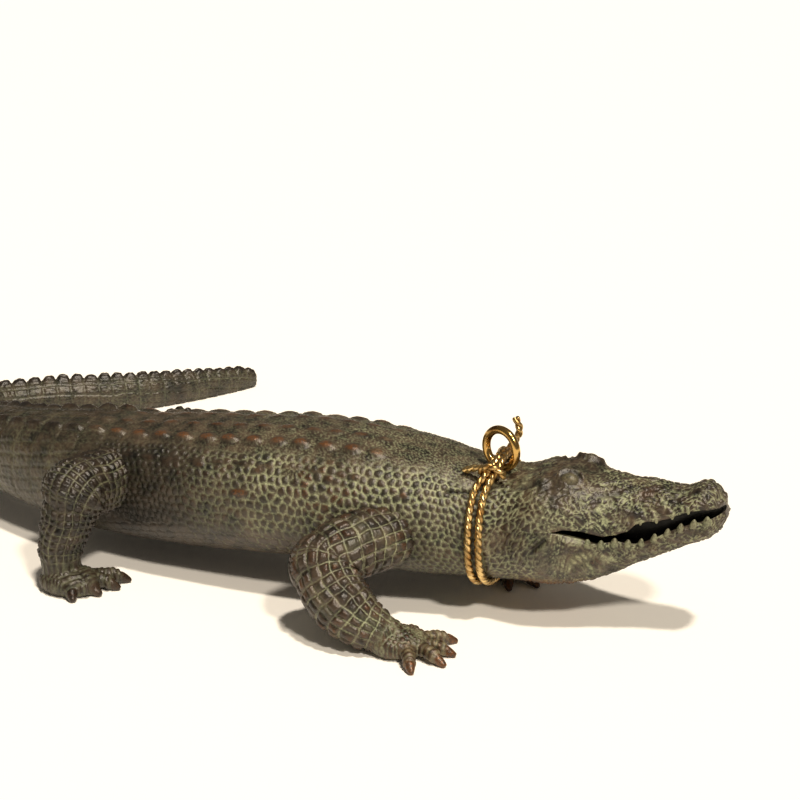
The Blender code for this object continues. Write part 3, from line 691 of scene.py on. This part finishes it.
def headSkin(x):
    # columns: right underside, lower lip, mouth's floor and roof, upper lip, skull's top, then the left side
    top, lipUp = softened(skullRows, x, 2, 1.0), softened(skullRows, x, 3, 0.4)
    under, lipDown = softened(jawRows, x, 3, 1.0), softened(jawRows, x, 2, 0.4)
    wideUp, wideDown = softened(skullRows, x, 1), softened(jawRows, x, 1)
    middle = (lipUp + lipDown) / 2
    gap = (np.maximum(lipUp - lipDown, 0) / 2 + 0.35) * step(45.2, 47.5, x)
    lipUp, lipDown = middle + gap, middle - gap * (1 + 0.25 * step(60, 64, x))
    deep = 0.80 * wideUp * step(head["corner"] - 1, head["corner"] + 7, x)
    sunk = np.minimum(2.2, 0.22 * (top - lipUp)) * step(46, 56, x)
    share = np.linspace(0, 1, mouthColumns)
    y, z = [], []
    for a in archAngles(jawColumns):
        y.append(wideDown * np.cos(a) ** 0.8)
        z.append(lipDown + (under - lipDown) * np.sin(a) ** 0.85)
    for t in share[1:]:
        y.append(wideDown - deep * t)
        z.append(lipDown - sunk * np.sin(t * math.pi / 2))
    for t in share[::-1][:-1]:
        y.append(wideUp - deep * t)
        z.append(lipUp + sunk * np.sin(t * math.pi / 2))
    for a in archAngles(skullColumns)[::-1]:
        y.append(wideUp * np.cos(a) ** 0.8)
        z.append(lipUp + (top - lipUp) * np.sin(a) ** 0.85)
    y, z = np.array(y).T, np.array(z).T
    y, z = np.hstack([-y, y[:, -2::-1]]), np.hstack([z, z[:, -2::-1]])
    return np.stack([np.broadcast_to(x[:, None], y.shape), y, z], -1)


def besideLine(grid, start, end):
    # distance of every point from a straight line between two points
    start, end = np.array(start, float), np.array(end, float)
    way = end - start
    t = np.clip(((grid - start) @ way) / (way @ way), 0, 1)
    return np.linalg.norm(grid - (start + t[..., None] * way), axis=2), t


xs = np.concatenate([np.arange(17.5, 98, head["grid"]), np.arange(98, 101.6, 0.25), [101.6]])
base = headSkin(xs)
columns = base.shape[1]
half = columns // 2
# behind the jaws the head takes the neck's section, so that one skin runs into the other under the collar
lowerAt = jawColumns - 1
upperAt = lowerAt + 2 * (mouthColumns - 1)
mouthDegrees = 84
right = np.full(half + 1, float(mouthDegrees))
right[:jawColumns] = 180 - np.linspace(0, 180 - mouthDegrees, jawColumns)
right[upperAt:] = np.interp(np.arange(half + 1 - upperAt), [0, half - upperAt], [mouthDegrees, 0])
neck = bodySkin(np.clip(nape - xs, 0, 60), np.concatenate([-right, right[-2::-1]]))
blend = step(20, 39, xs)[:, None, None]
base = neck * (1 - blend) + base * blend
isMouth = np.zeros(columns, bool)
isMouth[lowerAt + 2:upperAt - 1] = isMouth[columns - upperAt + 1:columns - lowerAt - 2] = True
v = measured(base)
v = v - v[:, [half]]
u = np.broadcast_to(xs[:, None], v.shape)
x, y, z = base[..., 0], base[..., 1], base[..., 2]
inMouth = np.broadcast_to(isMouth[None, :], v.shape) * step(head["corner"] - 0.5, head["corner"] + 1.5, x)
upperLip, lowerLip = z[:, [upperAt]], z[:, [lowerAt]]
lower = (z < lowerLip + 0.01) * 1.0
# a loose net of wriggling grooves on the snout, rounder pebbles on the cheek, beads on the jaw
wriggle = [0.65 * waver(u, v, 2.1, k) + 0.4 * waver(u, v, 4.5, k + 1) for k in (31, 41)]
long, wide = head["pit"]
border, _ = stones(u / long + wriggle[0], v / wide + wriggle[1], 33, 1.0)
pitted = step(0.02, 0.24, border)
pitNet = (1 - step(0.05, 0.15, border)) * step(-0.75, 0.1, waver(u, v, 2.6, 51))
long, wide = head["pebble"]
border, _ = stones(u / long + 0.55 * wriggle[1], v / wide + 0.55 * wriggle[0], 34, 0.8)
cheekPebble, cheekNet = step(0.03, 0.26, border), 1 - step(0.06, 0.16, border)
long, wide = head["bead"]
border, beadNumber = stones(u / long, v / wide, 35, 0.35)
bead, beadNet = step(0.02, 0.34, border), 1 - step(0.05, 0.14, border)
cheek = step(50, 38, x + 3 * wriggle[0]) * step(54, 46, z)
beads = step(0.25, 0.6, np.exp(-(((x - 56) / 9) ** 2) - ((z - 27.5) / 5.0) ** 2) * lower)
crown = step(49.5, 53.0, z) * step(26, 34, x) * step(62, 55, x)
plain = (1 - cheek) * (1 - beads)
height = head["pitHeight"] * pitted * plain * (1 - 0.6 * crown)
height += head["pebbleHeight"] * cheekPebble * cheek * (1 - beads)
height += head["beadHeight"] * bead * beads
height += 0.22 * waver(u, v, 1.3, 36) + 0.30 * waver(u, v, 7, 37)
verdigris = 1.15 * pitNet * plain * (1 - 0.65 * crown) + 0.90 * cheekNet * cheek * (1 - beads)
verdigris = verdigris * (0.75 + 0.5 * waver(u, v, 8, 38))
verdigris += beads * (0.35 * beadNet + 0.95 * bead * step(0.3, 0.6, beadNumber))
verdigris += 0.5 * step(0.2, 0.7, waver(u, v, 3.0, 39)) * np.exp(-(((x - 33) / 7) ** 2)) * step(50, 53, z)
rubbed = 0.12 * step(0.2, 0.8, waver(u, v, 6, 40))
rubbed += 0.75 * step(21, 15.5, z) * step(28, 38, x) * step(70, 56, x)  # under the throat
raised = np.maximum(pitted * (1 - pitNet) * plain, cheekPebble * (1 - cheekNet) * cheek)
# painted shade: the mouth's inside is near black, and the raised cells get a darker patina
paintedShadeAndDarkCells = np.maximum(inMouth, 0.32 * raised)
for bx, by, bz, reachX, reachR, out in head["bulges"]:
    away = np.hypot((x - bx) / reachX, np.hypot(y - by, z - bz) / reachR)
    height += out * np.exp(-away**2 * 1.2)
for start, end, wide, deepness in head["grooves"]:
    for side in (1, -1):
        away, t = besideLine(base * (1, side, 1), start, end)
        groove = np.exp(-((away / wide) ** 2)) * step(0, 0.15, t) * step(1, 0.85, t)
        lip = np.exp(-(((away - 1.9 * wide) / wide) ** 2)) * step(0, 0.2, t) * step(1, 0.8, t)
        height += -deepness * groove + 0.5 * deepness * lip
        # painted shade in the grooves
        paintedShadeAndDarkCells = np.maximum(paintedShadeAndDarkCells, 0.65 * groove)
        verdigris = verdigris * (1 - 0.6 * groove)
rightEye, leftEye, eyeRadius = head["eye"]
for eye in (rightEye, leftEye):
    off = base - np.array(eye)
    away = np.sqrt((off[..., 0] / 1.35) ** 2 + off[..., 1] ** 2 + off[..., 2] ** 2)
    above = step(-1.5, 1.5, off[..., 2] - 0.9 * np.sign(eye[1]) * off[..., 1])
    height += -0.5 * step(eyeRadius + 0.2, eyeRadius - 0.7, away)
    height += (0.15 + 1.25 * above) * np.exp(-(((away - eyeRadius - 1.0) / 0.55) ** 2))
    # painted shade in the fold round the eye, darkest under the lid
    paintedShadeAndDarkCells = np.maximum(paintedShadeAndDarkCells, (0.35 + 0.50 * above) * np.exp(-(((away - eyeRadius - 0.1) / 0.5) ** 2)))
    verdigris = verdigris * (1 - 0.5 * step(eyeRadius + 2.0, eyeRadius, away))
# gum bumps along the lips, and no relief across the gap
toLip = np.minimum(np.abs(z - upperLip), np.abs(z - lowerLip))
ahead = step(head["corner"] - 2, head["corner"] + 2, x)
height = height * (1 - ahead * step(1.5, 0.2, toLip))
socket = 0.5 + 0.5 * np.cos(2 * math.pi * (x - 58.0) / head["socket"])
height += 0.55 * np.exp(-(((toLip - 1.3) / 0.9) ** 2)) * step(54, 60, x) * socket
height = height * (1 - inMouth)
for nostril in head["nostrils"]:
    away = np.hypot((x - nostril[0]) / 1.4, (y - nostril[1]) / 0.9) + (z < 52) * 9
    height += -0.9 * np.exp(-away**2)
    # painted shade in the nostrils
    paintedShadeAndDarkCells = np.maximum(paintedShadeAndDarkCells, 0.75 * np.exp(-away**2))
height -= 1.6 * step(20.6, 18.0, x)  # under the neck's skin at the collar
way = outwards(base)
for first, last in ((lowerAt, upperAt + 1), (columns - upperAt - 2, columns - lowerAt - 1)):
    # where the mouth is shut its columns lie on one another, and the way out is the same for all of them
    across = np.linspace(0, 1, last - first + 1)[None, :, None]
    filled = way[:, first - 1:first] * (1 - across) + way[:, last + 1:last + 2] * across
    shut = step(47.5, 45.5, xs)[:, None, None]
    way[:, first:last + 1] = way[:, first:last + 1] * (1 - shut) + filled * shut
grid = base + way * height[..., None]
marks = {"verdigris": verdigris * (1 - inMouth), "rubbed": rubbed * (1 - inMouth), "deep": paintedShadeAndDarkCells}
belongs(skin("head", grid, marks), "alligator", castBronze)


# Eyes and teeth

def ballAt(centre, radius, stretch, name, turn=0.0):
    bpy.ops.object.select_all(action="DESELECT")
    bpy.ops.mesh.primitive_uv_sphere_add(segments=28, ring_count=18, radius=radius / 1000)
    piece = bpy.context.object
    piece.scale = stretch
    piece.rotation_euler = (0, 0, turn)
    piece.location = (np.array(centre) + sheet) / 1000
    bpy.ops.object.transform_apply(location=True, rotation=True, scale=True)
    bpy.ops.object.shade_smooth()
    piece.name = piece.data.name = name
    return piece


def plainMarks(piece, verdigris=0.0, rubbed=0.0):
    count = len(piece.data.vertices)
    shares = {"verdigris": verdigris, "rubbed": rubbed, "deep": 0.0}
    putMarks(piece.data, {mark: np.full(count, share) for mark, share in shares.items()})


eyes = []
for eye, side in ((rightEye, -1), (leftEye, 1)):
    centre = (eye[0] - 0.2, eye[1] + side * 0.7, eye[2] + 0.9)
    eyes.append(ballAt(centre, head["eyeball"], (1.3, 1.0, 1.0), "eye"))
eyes = joined(eyes, "eyes")
plainMarks(eyes, verdigris=0.25, rubbed=0.1)
belongs(eyes, "alligator", castBronze)

teeth = {
    "lower": (10, 58.0, 4.3, 1.5, 3.1, 0.1),  # a side: how many, first x, pitch, radius, length, how far out
    "upper": (4, 74.5, 5.2, 1.25, 3.0, -0.3),
}


def toothAt(foot, tip, radius):
    # a blunt cone with a rounded end
    foot, tip = np.array(foot), np.array(tip)
    along = [0, 0.35, 0.7, 0.9, 1.0]
    thick = [1.0, 0.86, 0.55, 0.34, 0.10]
    points = [(foot + (tip - foot) * t + sheet) / 1000 for t in along]
    return tube(points, [radius / 1000 * t for t in thick], "tooth", 10)


for name, up in (("lower", 1), ("upper", -1)):
    count, first, pitch, radius, length, proud = teeth[name]
    rows = jawRows if up > 0 else skullRows
    made = []
    for side in (-1, 1):
        for i in range(count):
            x = first + pitch * i
            wide = np.interp(x, rows[:, 0], rows[:, 1])
            lip = np.interp(x, rows[:, 0], rows[:, 2 if up > 0 else 3])
            size = 0.85 + 0.3 * float(scatter(i, side, 3 + up))
            foot = (x, side * (wide - 0.4 + proud), lip - up * 2.2)
            tip = (x + 0.3, side * (wide + proud), lip + up * (length - 2.4) * size)
            made.append(toothAt(foot, tip, radius * size))
    row = joined(made, name + "Teeth")
    keepOnly(row)
    bpy.ops.object.shade_smooth()
    plainMarks(row, verdigris=0.55 if up > 0 else 0.8)
    belongs(row, "alligator", castBronze)
print("head done")


# Legs and feet

# upper and lower: x, y, height, radius. palm: heel, front, half width. toes: from x, y to x, y. toe: radius
limbs = {
    "foreRightLeg": {
        "upper": ((-7, -8, 30, 9), (-13, -25, 30.5, 10.8), (-20, -37, 30, 10.8), (-26.5, -45, 27, 10.4)),
        "lower": ((-27, -46, 25, 10.4), (-20, -51.5, 17.5, 10.4), (-11, -54, 11.5, 8.8), (-3, -53, 7.5, 6.6),
                  (2, -52, 5.4, 5)),
        "palm": ((-1, -53), (7, -51), 8.5), "toe": 2.15, "voxel": 0.40,
        "tone": (1.0, 0.0, 0.55),  # how green, how dark (a painted shade over the whole limb, which also loosens its scales and raises the hind legs' fine rows), how rubbed
        "toes": ((-1, -44, 9, -38.5), (8, -47, 19, -37.5), (10, -50.5, 22.5, -48.5), (10, -53, 22, -57.5),
                 (7, -55, 13.5, -67)),
    },
    "foreLeftLeg": {
        "upper": ((-7, 8, 30, 9), (-10, 25, 30, 10.8), (-13, 36, 26, 10.2)),
        "lower": ((-13, 38, 23, 10.2), (-4, 36, 15, 9.2), (3, 32, 10, 7.8), (8, 28.5, 7, 6.4),
                  (11, 26, 5.2, 5)),
        "palm": ((8, 29), (14, 24), 8.2), "toe": 2.15, "voxel": 0.5, "tone": (0.8, 0.1, 0.45),
        "toes": ((12, 21, 12, 11.5), (16, 20.5, 22, 9.5), (18.5, 22, 31, 16.5), (18.5, 25, 34, 26),
                 (16, 27, 27, 36)),
    },
    "hindRightLeg": {
        "upper": ((-122, -8, 32, 10), (-124, -26, 36, 11), (-125.5, -41, 38, 10.4)),
        "lower": ((-126, -42, 37, 10.6), (-128.5, -45, 26, 8.8), (-131, -46, 17, 7.4), (-131, -46, 7, 7)),
        "palm": ((-132, -47), (-122, -47.5), 9), "toe": 2.4, "voxel": 0.40, "tone": (0.80, 0.37, 0.15),
        "toes": ((-121, -41, -110, -33), (-122, -44.5, -110, -41), (-124, -47, -113.5, -49),
                 (-126, -50, -120, -57.5)),
    },
    "hindLeftLeg": {
        "upper": ((-122, 8, 29, 10), (-125, 26, 31, 11), (-127.5, 41, 30.5, 10.4)),
        "lower": ((-128, 42, 29.5, 10.6), (-133, 45, 22, 8.8), (-137, 46, 14, 7.4), (-138, 46, 7, 7)),
        "palm": ((-139, 47), (-129, 47.5), 9), "toe": 2.4, "voxel": 0.5, "tone": (0.80, 0.37, 0.15),
        "toes": ((-128, 41, -117, 33), (-129, 44.5, -116, 41), (-131, 47, -119, 50), (-133, 50, -126, 59)),
    },
}
squareScales = {"fore": (3.7, 17), "hind": (2.9, 20)}  # mm between their lines, and how many round the limb
kneeCreases = ((0.60, 0.8, 1.6), (0.72, 0.7, 1.2))  # share of the hind limb's length, reach, depth
soleCut = 0.5  # mm that the feet are filed flat


def toeLine(root, end, radius):
    root, end = np.array((*root, radius * 1.9)), np.array((*end, 2.0))
    knuckle = root + (end - root) * 0.52 + (0, 0, radius * 0.4)
    nail = root + (end - root) * 0.76
    points = [root, knuckle, nail, end - (0, 0, 0.9)]
    return np.array([(*p, r) for p, r in zip(points, (radius * 1.1, radius, radius * 0.86, radius * 0.42))])


def bar(stations, name):
    stations = smoothRows(stations, 5)
    return tube((stations[:, :3] + sheet) / 1000, stations[:, 3] / 1000, name, 20)


def roughLimb(limb, name):
    made = [bar(limb["upper"], "upper"), bar(limb["lower"], "lower")]
    *joint, radius = limb["lower"][0]
    made.append(ballAt(joint, radius * 1.08, (1, 1, 1), "joint"))
    heel, front, wide = limb["palm"]
    heel, front = np.array(heel, float), np.array(front, float)
    middle, way = (heel + front) / 2, front - heel
    reach = np.hypot(*way) / 2 + wide * 0.75
    made.append(ballAt((*middle, 4.2), 1.0, (reach, wide, 5.2), "palm", math.atan2(way[1], way[0])))
    for x0, y0, x1, y1 in limb["toes"]:
        made.append(bar(toeLine((x0, y0), (x1, y1), limb["toe"]), "toe"))
    piece = joined(made, name)
    for kind, settings in (("REMESH", {"mode": "VOXEL", "voxel_size": limb["voxel"] / 1000}),
                           ("SMOOTH", {"factor": 0.5, "iterations": 5})):
        modifier = piece.modifiers.new(kind.lower(), kind)
        for key, value in settings.items():
            setattr(modifier, key, value)
        bpy.ops.object.modifier_apply(modifier=modifier.name)
    return piece


def limbPlaces(points, line):
    # mm along the limb and the angle round it for every point, and the limb's length
    along = measured(line)
    nearest = np.zeros(len(points), int)
    best = np.full(len(points), 1e9)
    for i, place in enumerate(line):
        away = ((points - place) ** 2).sum(1)
        nearer = away < best
        best[nearer] = away[nearer]
        nearest[nearer] = i
    way = np.gradient(line, axis=0)
    way /= np.linalg.norm(way, axis=1, keepdims=True)
    side = carriedAlong(way, (0, 0, 1))
    other = np.cross(way, side)
    off = points - line[nearest]
    s = along[nearest] + (off * way[nearest]).sum(1)
    turn = np.arctan2((off * other[nearest]).sum(1), (off * side[nearest]).sum(1))
    return s, turn, along[-1]


def dressLimb(piece, limb, seed):
    mesh = piece.data
    count = len(mesh.vertices)
    place = np.empty(count * 3)
    mesh.vertices.foreach_get("co", place)
    way = np.empty(count * 3, np.float32)
    mesh.vertex_normals.foreach_get("vector", way)
    place, way = place.reshape(-1, 3) * 1000 - sheet, way.reshape(-1, 3)
    px, py, pz = place.T
    *upper, last = limb["upper"]
    first, *lower = limb["lower"]
    knee = [(a + b) / 2 for a, b in zip(last, first)]
    s, turn, length = limbPlaces(place, smoothRows([p[:3] for p in (*upper, knee, *lower)], 12))
    around = turn * 10
    girth = np.interp(s, [0, length * 0.5, length], [10.6, 10.2, 6.5]) * 2 * math.pi
    scaleSize, columns = squareScales[piece.name[:4]]
    green, dark, worn = limb["tone"]
    loose = 1 + 1.2 * dark
    u = turn / (2 * math.pi) * columns + 0.26 * loose * waver(s, around, 9, seed)
    u += 0.10 * waver(s, around, 3, seed + 7)
    w = s / scaleSize + 0.22 * loose * waver(around, s, 8, seed + 1)
    w += 0.10 * waver(around, s, 3, seed + 8)
    toColumn, toRow = (0.5 - np.abs(np.mod(k, 1) - 0.5) for k in (u, w))
    edge = np.minimum(toColumn * girth / columns, toRow * scaleSize)
    block, net = step(0.0, 1.05, edge) ** 0.8, 1 - step(0.08, 0.27, edge)
    number = scatter(np.floor(np.mod(u, columns)), np.floor(w), seed)
    wrinkle = waver(s * 1.2, turn * 9, 1.3, seed + 2)
    height = 0.95 * block + 0.22 * wrinkle * block + 0.35 * (number - 0.5) * block
    # fine rows of little scales on the hind legs and a crease under the knee
    relief = 0.5 * np.abs(np.sin(s * 2.6 + 1.5 * waver(s, around, 6, seed + 9)))
    for where, reach, deepness in kneeCreases:
        relief -= deepness * np.exp(-(((s - length * where) / reach) ** 2))
    height += dark * relief
    streaks = step(-0.6, 0.2, waver(s, around, 5, seed + 6))
    verdigris = net * (0.45 + 0.55 * streaks) + 0.22 * step(0.3, 0.8, waver(s, around, 6, seed + 3))
    rubbed = worn * step(0.35, 0.95, number) * step(0.4, 0.9, block) * (0.5 + 0.5 * wrinkle)
    # the foot: puckered skin, knuckle creases, blunt nails
    foot = step(length - 9, length - 2, s) * step(16, 12, pz)
    border, _ = stones(px / 1.7, py / 1.6, seed + 3, 0.9)
    pucker = step(0.02, 0.3, border)
    footHeight = 0.40 * pucker + 0.45 * waver(px, py, 2.4, seed + 4)
    footGreen = 0.60 * (1 - step(0.05, 0.18, border)) + 0.25 * step(0.1, 0.6, waver(px, py, 3, seed + 3))
    footRubbed = 0.4 * worn * pucker
    for x0, y0, x1, y1 in limb["toes"]:
        root, end = np.array((x0, y0)), np.array((x1, y1))
        reach = np.hypot(*(end - root))
        t = ((place[:, :2] - root) @ (end - root)) / reach**2
        aside = np.abs((px - x0) * (y1 - y0) - (py - y0) * (x1 - x0)) / reach
        onToe = step(limb["toe"] + 1.3, limb["toe"] + 0.5, aside) * step(0.05, 0.3, t) * step(1.25, 1.1, t)
        crease = 0.5 + 0.5 * np.cos(2 * math.pi * t * reach / 2.2 + 1.5 * waver(px, py, 4, seed + 2))
        nail = step(0.72, 0.78, t)
        rim = np.exp(-(((t - 0.74) * reach / 0.4) ** 2))
        lump = waver(px, py + pz, 1.5, seed + 5)
        toeHeight = (0.34 * (1 - crease**2) + 0.22 * lump) * (1 - nail) - 0.4 * rim + 0.12 * lump * nail
        toeGreen = (0.55 * crease**2 + 0.35 * step(0, 0.6, lump)) * (1 - nail) + 0.2 * rim
        footHeight = footHeight * (1 - onToe) + toeHeight * onToe
        footGreen = footGreen * (1 - onToe) + onToe * toeGreen
        footRubbed = footRubbed * (1 - onToe) + onToe * worn * (0.45 + 0.7 * nail + 0.3 * lump)
    height = height * (1 - foot) + footHeight * foot
    patchy = 0.85 + 0.3 * waver(s, around, 11, seed + 5)
    verdigris = (verdigris * (1 - foot) + footGreen * foot) * patchy * green
    rubbed = rubbed * (1 - foot) + footRubbed * foot
    # the deep mark: painted shade over the whole limb (dark), darker patina on the raised blocks than in
    # their lines, and the foot a little darker
    deep = dark + 0.34 * block * (1 - net) * (1 - foot) + 0.18 * foot
    place = place + way * (height * step(0.4, 2.2, pz))[:, None]
    place[:, 2] = np.maximum(place[:, 2], soleCut)
    mesh.vertices.foreach_set("co", ((place + sheet) / 1000).ravel())
    putMarks(mesh, {"verdigris": verdigris, "rubbed": rubbed, "deep": deep})
    mesh.update()
    keepOnly(piece)
    bpy.ops.object.shade_smooth()
    tell(piece)


for seed, (name, limb) in enumerate(limbs.items()):
    piece = roughLimb(limb, name)
    dressLimb(piece, limb, 50 + 10 * seed)
    belongs(piece, "alligator", castBronze)


# Collar and ring

collar = {
    "rope": 2.8,  # mm across the twisted rope
    "lay": 5.6,  # mm along the rope for one turn of its two strands
    "strand": 0.335,  # radius of a strand, of the rope's thickness, and how much of it is left at a cut end
    "endStrand": 0.75,
    "pitch": 3.7,  # mm from one turn round the neck to the next
    "lift": 0.5,  # mm clear of the skin
    "first": 17.5,  # x of the first turn
    "ring": (22.9, -5.5), "ringWire": 3.0, "ringBore": 10.6, "ringTurn": -22,
    "rise": 36,  # degrees over which the rope climbs to the ring
    "knot": -27, "tuft": 12,  # degrees of the tie and of the upright end
    "endLength": 10.5, "tuftLength": 13.0,
}


def neckPoint(x, degrees, lift):
    picks = np.array([nape - x + shift * collar["rope"] / 2 for shift in (-1, 0, 1)])
    points = bodySkin(picks, np.array([degrees]))[:, 0]
    axis = np.interp(picks[1], run, spine[:, 2])
    reach = np.hypot(points[:, 1], points[:, 2] - axis).max()
    way = np.array((0, points[1, 1], points[1, 2] - axis))
    return np.array((x, 0, axis)) + way / np.linalg.norm(way) * (reach + lift)


def ringDegrees():
    x, y = collar["ring"]
    wide = np.interp(nape - x, run, spine[:, 3])
    return math.copysign(math.degrees(math.asin(abs(y / wide) ** (1 / body["rounding"]))), y)


def collarPoint(turn, degrees):
    rope, bore = collar["rope"], collar["ringBore"]
    pull = 1 - float(step(8, collar["rise"], abs(degrees - ringDegrees())))
    room = bore / 2 - collar["lift"] - rope / 2
    beside = (turn - 0.5) * min(rope, 1.3 * room / 2)
    through = collar["ringWire"] + bore / 2 - math.sqrt(room**2 - beside**2)
    low, high = rope / 2 + collar["lift"], collar["lift"] + through
    start = collar["first"] + turn * collar["pitch"]
    x = start + pull * (collar["ring"][0] + beside - start)
    return neckPoint(x, degrees, low + pull * (high - low))


def twisted(points, name, closed=False):
    # two plump strands laid round a path given in mm
    points = np.array(points, float)
    if closed:
        points = np.vstack([points, points[:1]])
    along = measured(points)
    turns = max(round(along[-1] / collar["lay"]), 1) if closed else along[-1] / collar["lay"]
    count = int(along[-1] / 0.22)
    where = np.linspace(0, along[-1], count, endpoint=not closed)
    path = pick(along, points, where)
    if closed:
        way = np.roll(path, -1, axis=0) - np.roll(path, 1, axis=0)
    else:
        way = np.gradient(path, axis=0)
    way /= np.linalg.norm(way, axis=1, keepdims=True)
    side = carriedAlong(way, (1.0, 0.2, 0.1))
    other = np.cross(way, side)
    slip = 0.0
    if closed:  # the carried side comes back turned, so the strands make up for it
        last = side[-1] - way[0] * (side[-1] @ way[0])
        slip = math.atan2(last @ other[0], last @ side[0])
    strand = collar["rope"] * collar["strand"]
    made = []
    for ply in (0, math.pi):
        angle = (ply - (2 * math.pi * turns) * where / along[-1] - slip * where / along[-1])[:, None]
        centre = path + (side * np.cos(angle) + other * np.sin(angle)) * (collar["rope"] / 2 - strand)
        radii = np.full(count, strand / 1000)
        if not closed:
            radii[0] = radii[-1] = strand * collar["endStrand"] / 1000
        made.append(tube((centre + sheet) / 1000, radii, name, 10, closed))
    return made


ropes = []
for turn in (0, 1):
    ropes += twisted([collarPoint(turn, 360 * i / 120 - 180) for i in range(120)], "turn", closed=True)


def knotFrame(degrees):
    middle = (collarPoint(0, degrees) + collarPoint(1, degrees)) / 2
    out = middle - np.array((middle[0], 0, np.interp(nape - middle[0], run, spine[:, 2])))
    return middle, out / np.linalg.norm(out)


rope = collar["rope"]
middle, out = knotFrame(collar["knot"])
arc = [(0.4 * rope, 0.9 * rope), (1.25 * rope, 0.25 * rope), (1.45 * rope, -0.7 * rope)]
arc = [(-x, z) for x, z in reversed(arc)] + arc
ropes += twisted(smoothRows([middle + np.array((x, 0, 0)) + out * z for x, z in arc], 8), "tie")
root = middle + out * 0.5 * rope
tip = middle + np.array((-collar["endLength"], 0.12 * collar["endLength"], 0))
wide, rise, axis = (np.interp(nape - tip[0], run, spine[:, k]) for k in (3, 4, 2))
onSkin = (1 - abs(tip[1] / wide) ** (2 / body["rounding"])) ** (body["rounding"] / 2)
tip[2] = axis + rise * onSkin + rope / 2 + collar["lift"]
bend = root * 0.45 + tip * 0.55 + np.array((0, 0, 0.3 * rope))
ropes += twisted(smoothRows([root, bend, tip], 12), "back end")
behind, _ = knotFrame(collar["tuft"])
tall = collar["tuftLength"]
stem = [behind, behind + np.array((0.22, 0, 0.3)) * tall, behind + np.array((0.36, 0, 0.65)) * tall,
        behind + np.array((0.24, 0, 1.0)) * tall]
ropes += twisted(smoothRows(stem, 12), "tuft")
ropeCollar = joined(ropes, "ropeCollar")
bpy.ops.object.shade_smooth()
belongs(ropeCollar, "rope_collar", ropeBrass)
tell(ropeCollar)

bpy.ops.object.select_all(action="DESELECT")
ringTurn = math.radians(collar["ringTurn"])
facing = Vector((math.sin(ringTurn), -math.cos(ringTurn), 0))
bpy.ops.mesh.primitive_torus_add(
    major_segments=128, minor_segments=40, major_radius=(collar["ringBore"] + collar["ringWire"]) / 2000,
    minor_radius=collar["ringWire"] / 2000, rotation=facing.to_track_quat("Z", "Y").to_euler(),
    location=tuple((np.array(ringOnSheet) + sheet) / 1000))
leadRing = bpy.context.object
leadRing.name = leadRing.data.name = "leadRing"
bpy.ops.object.shade_smooth()
belongs(leadRing, "lead_ring", ringBrass)
print("ring done")


# Floor, light and camera

stageSet = {
    "floor": "#fffcf6", "world": "#fff4e4", "worldStrength": 0.16, "lamp": "#fff3e2",
    "lamps": (  # name, direction it shines from, strength, degrees across
        ("overheadLight", (0.27, -0.20, 1.0), 2.6, 4.5), ("frontLight", (0.60, -0.55, 0.85), 2.0, 5.5)),
}
bpy.ops.object.select_all(action="DESELECT")
bpy.ops.mesh.primitive_plane_add(size=60, location=(0, 0, 0))
floor = bpy.context.object
floor.name = "floor"
paper, shader = newLook("matt white card")
shader.inputs["Base Color"].default_value = linear(stageSet["floor"])
shader.inputs["Roughness"].default_value = 0.9
floor.data.materials.append(paper)
world = bpy.context.scene.world or bpy.data.worlds.new("world")
bpy.context.scene.world = world
world.use_nodes = True
sky = world.node_tree.nodes["Background"]
sky.inputs[0].default_value = linear(stageSet["world"])
sky.inputs[1].default_value = stageSet["worldStrength"]
for name, way, strength, width in stageSet["lamps"]:
    bpy.ops.object.light_add(type="SUN", location=way)
    lamp = bpy.context.object
    lamp.name = name
    lamp.data.energy = strength
    lamp.data.angle = math.radians(width)
    lamp.data.color = linear(stageSet["lamp"])[:3]
    lamp.rotation_euler = Vector(way).to_track_quat("Z", "Y").to_euler()

view = {"azimuth": 21.6, "elevation": 18.5, "distance": 840.6, "target": (-63.3, 117.0, 30.0), "lens": 90}
a, e = math.radians(view["azimuth"]), math.radians(view["elevation"])
back = Vector((math.sin(a) * math.cos(e), -math.cos(a) * math.cos(e), math.sin(e)))
bpy.ops.object.camera_add()
camera = bpy.context.object
camera.location = (Vector(view["target"]) + back * view["distance"] + Vector(sheet)) / 1000
right = Vector((math.cos(a), math.sin(a), 0))
camera.rotation_euler = Matrix((right, back.cross(right), back)).transposed().to_euler()
camera.data.lens = view["lens"]
camera.data.sensor_width = 36
camera.data.clip_start = 0.01
bpy.context.scene.camera = camera
bpy.context.scene.view_settings.view_transform = "Standard"
print("stage set")
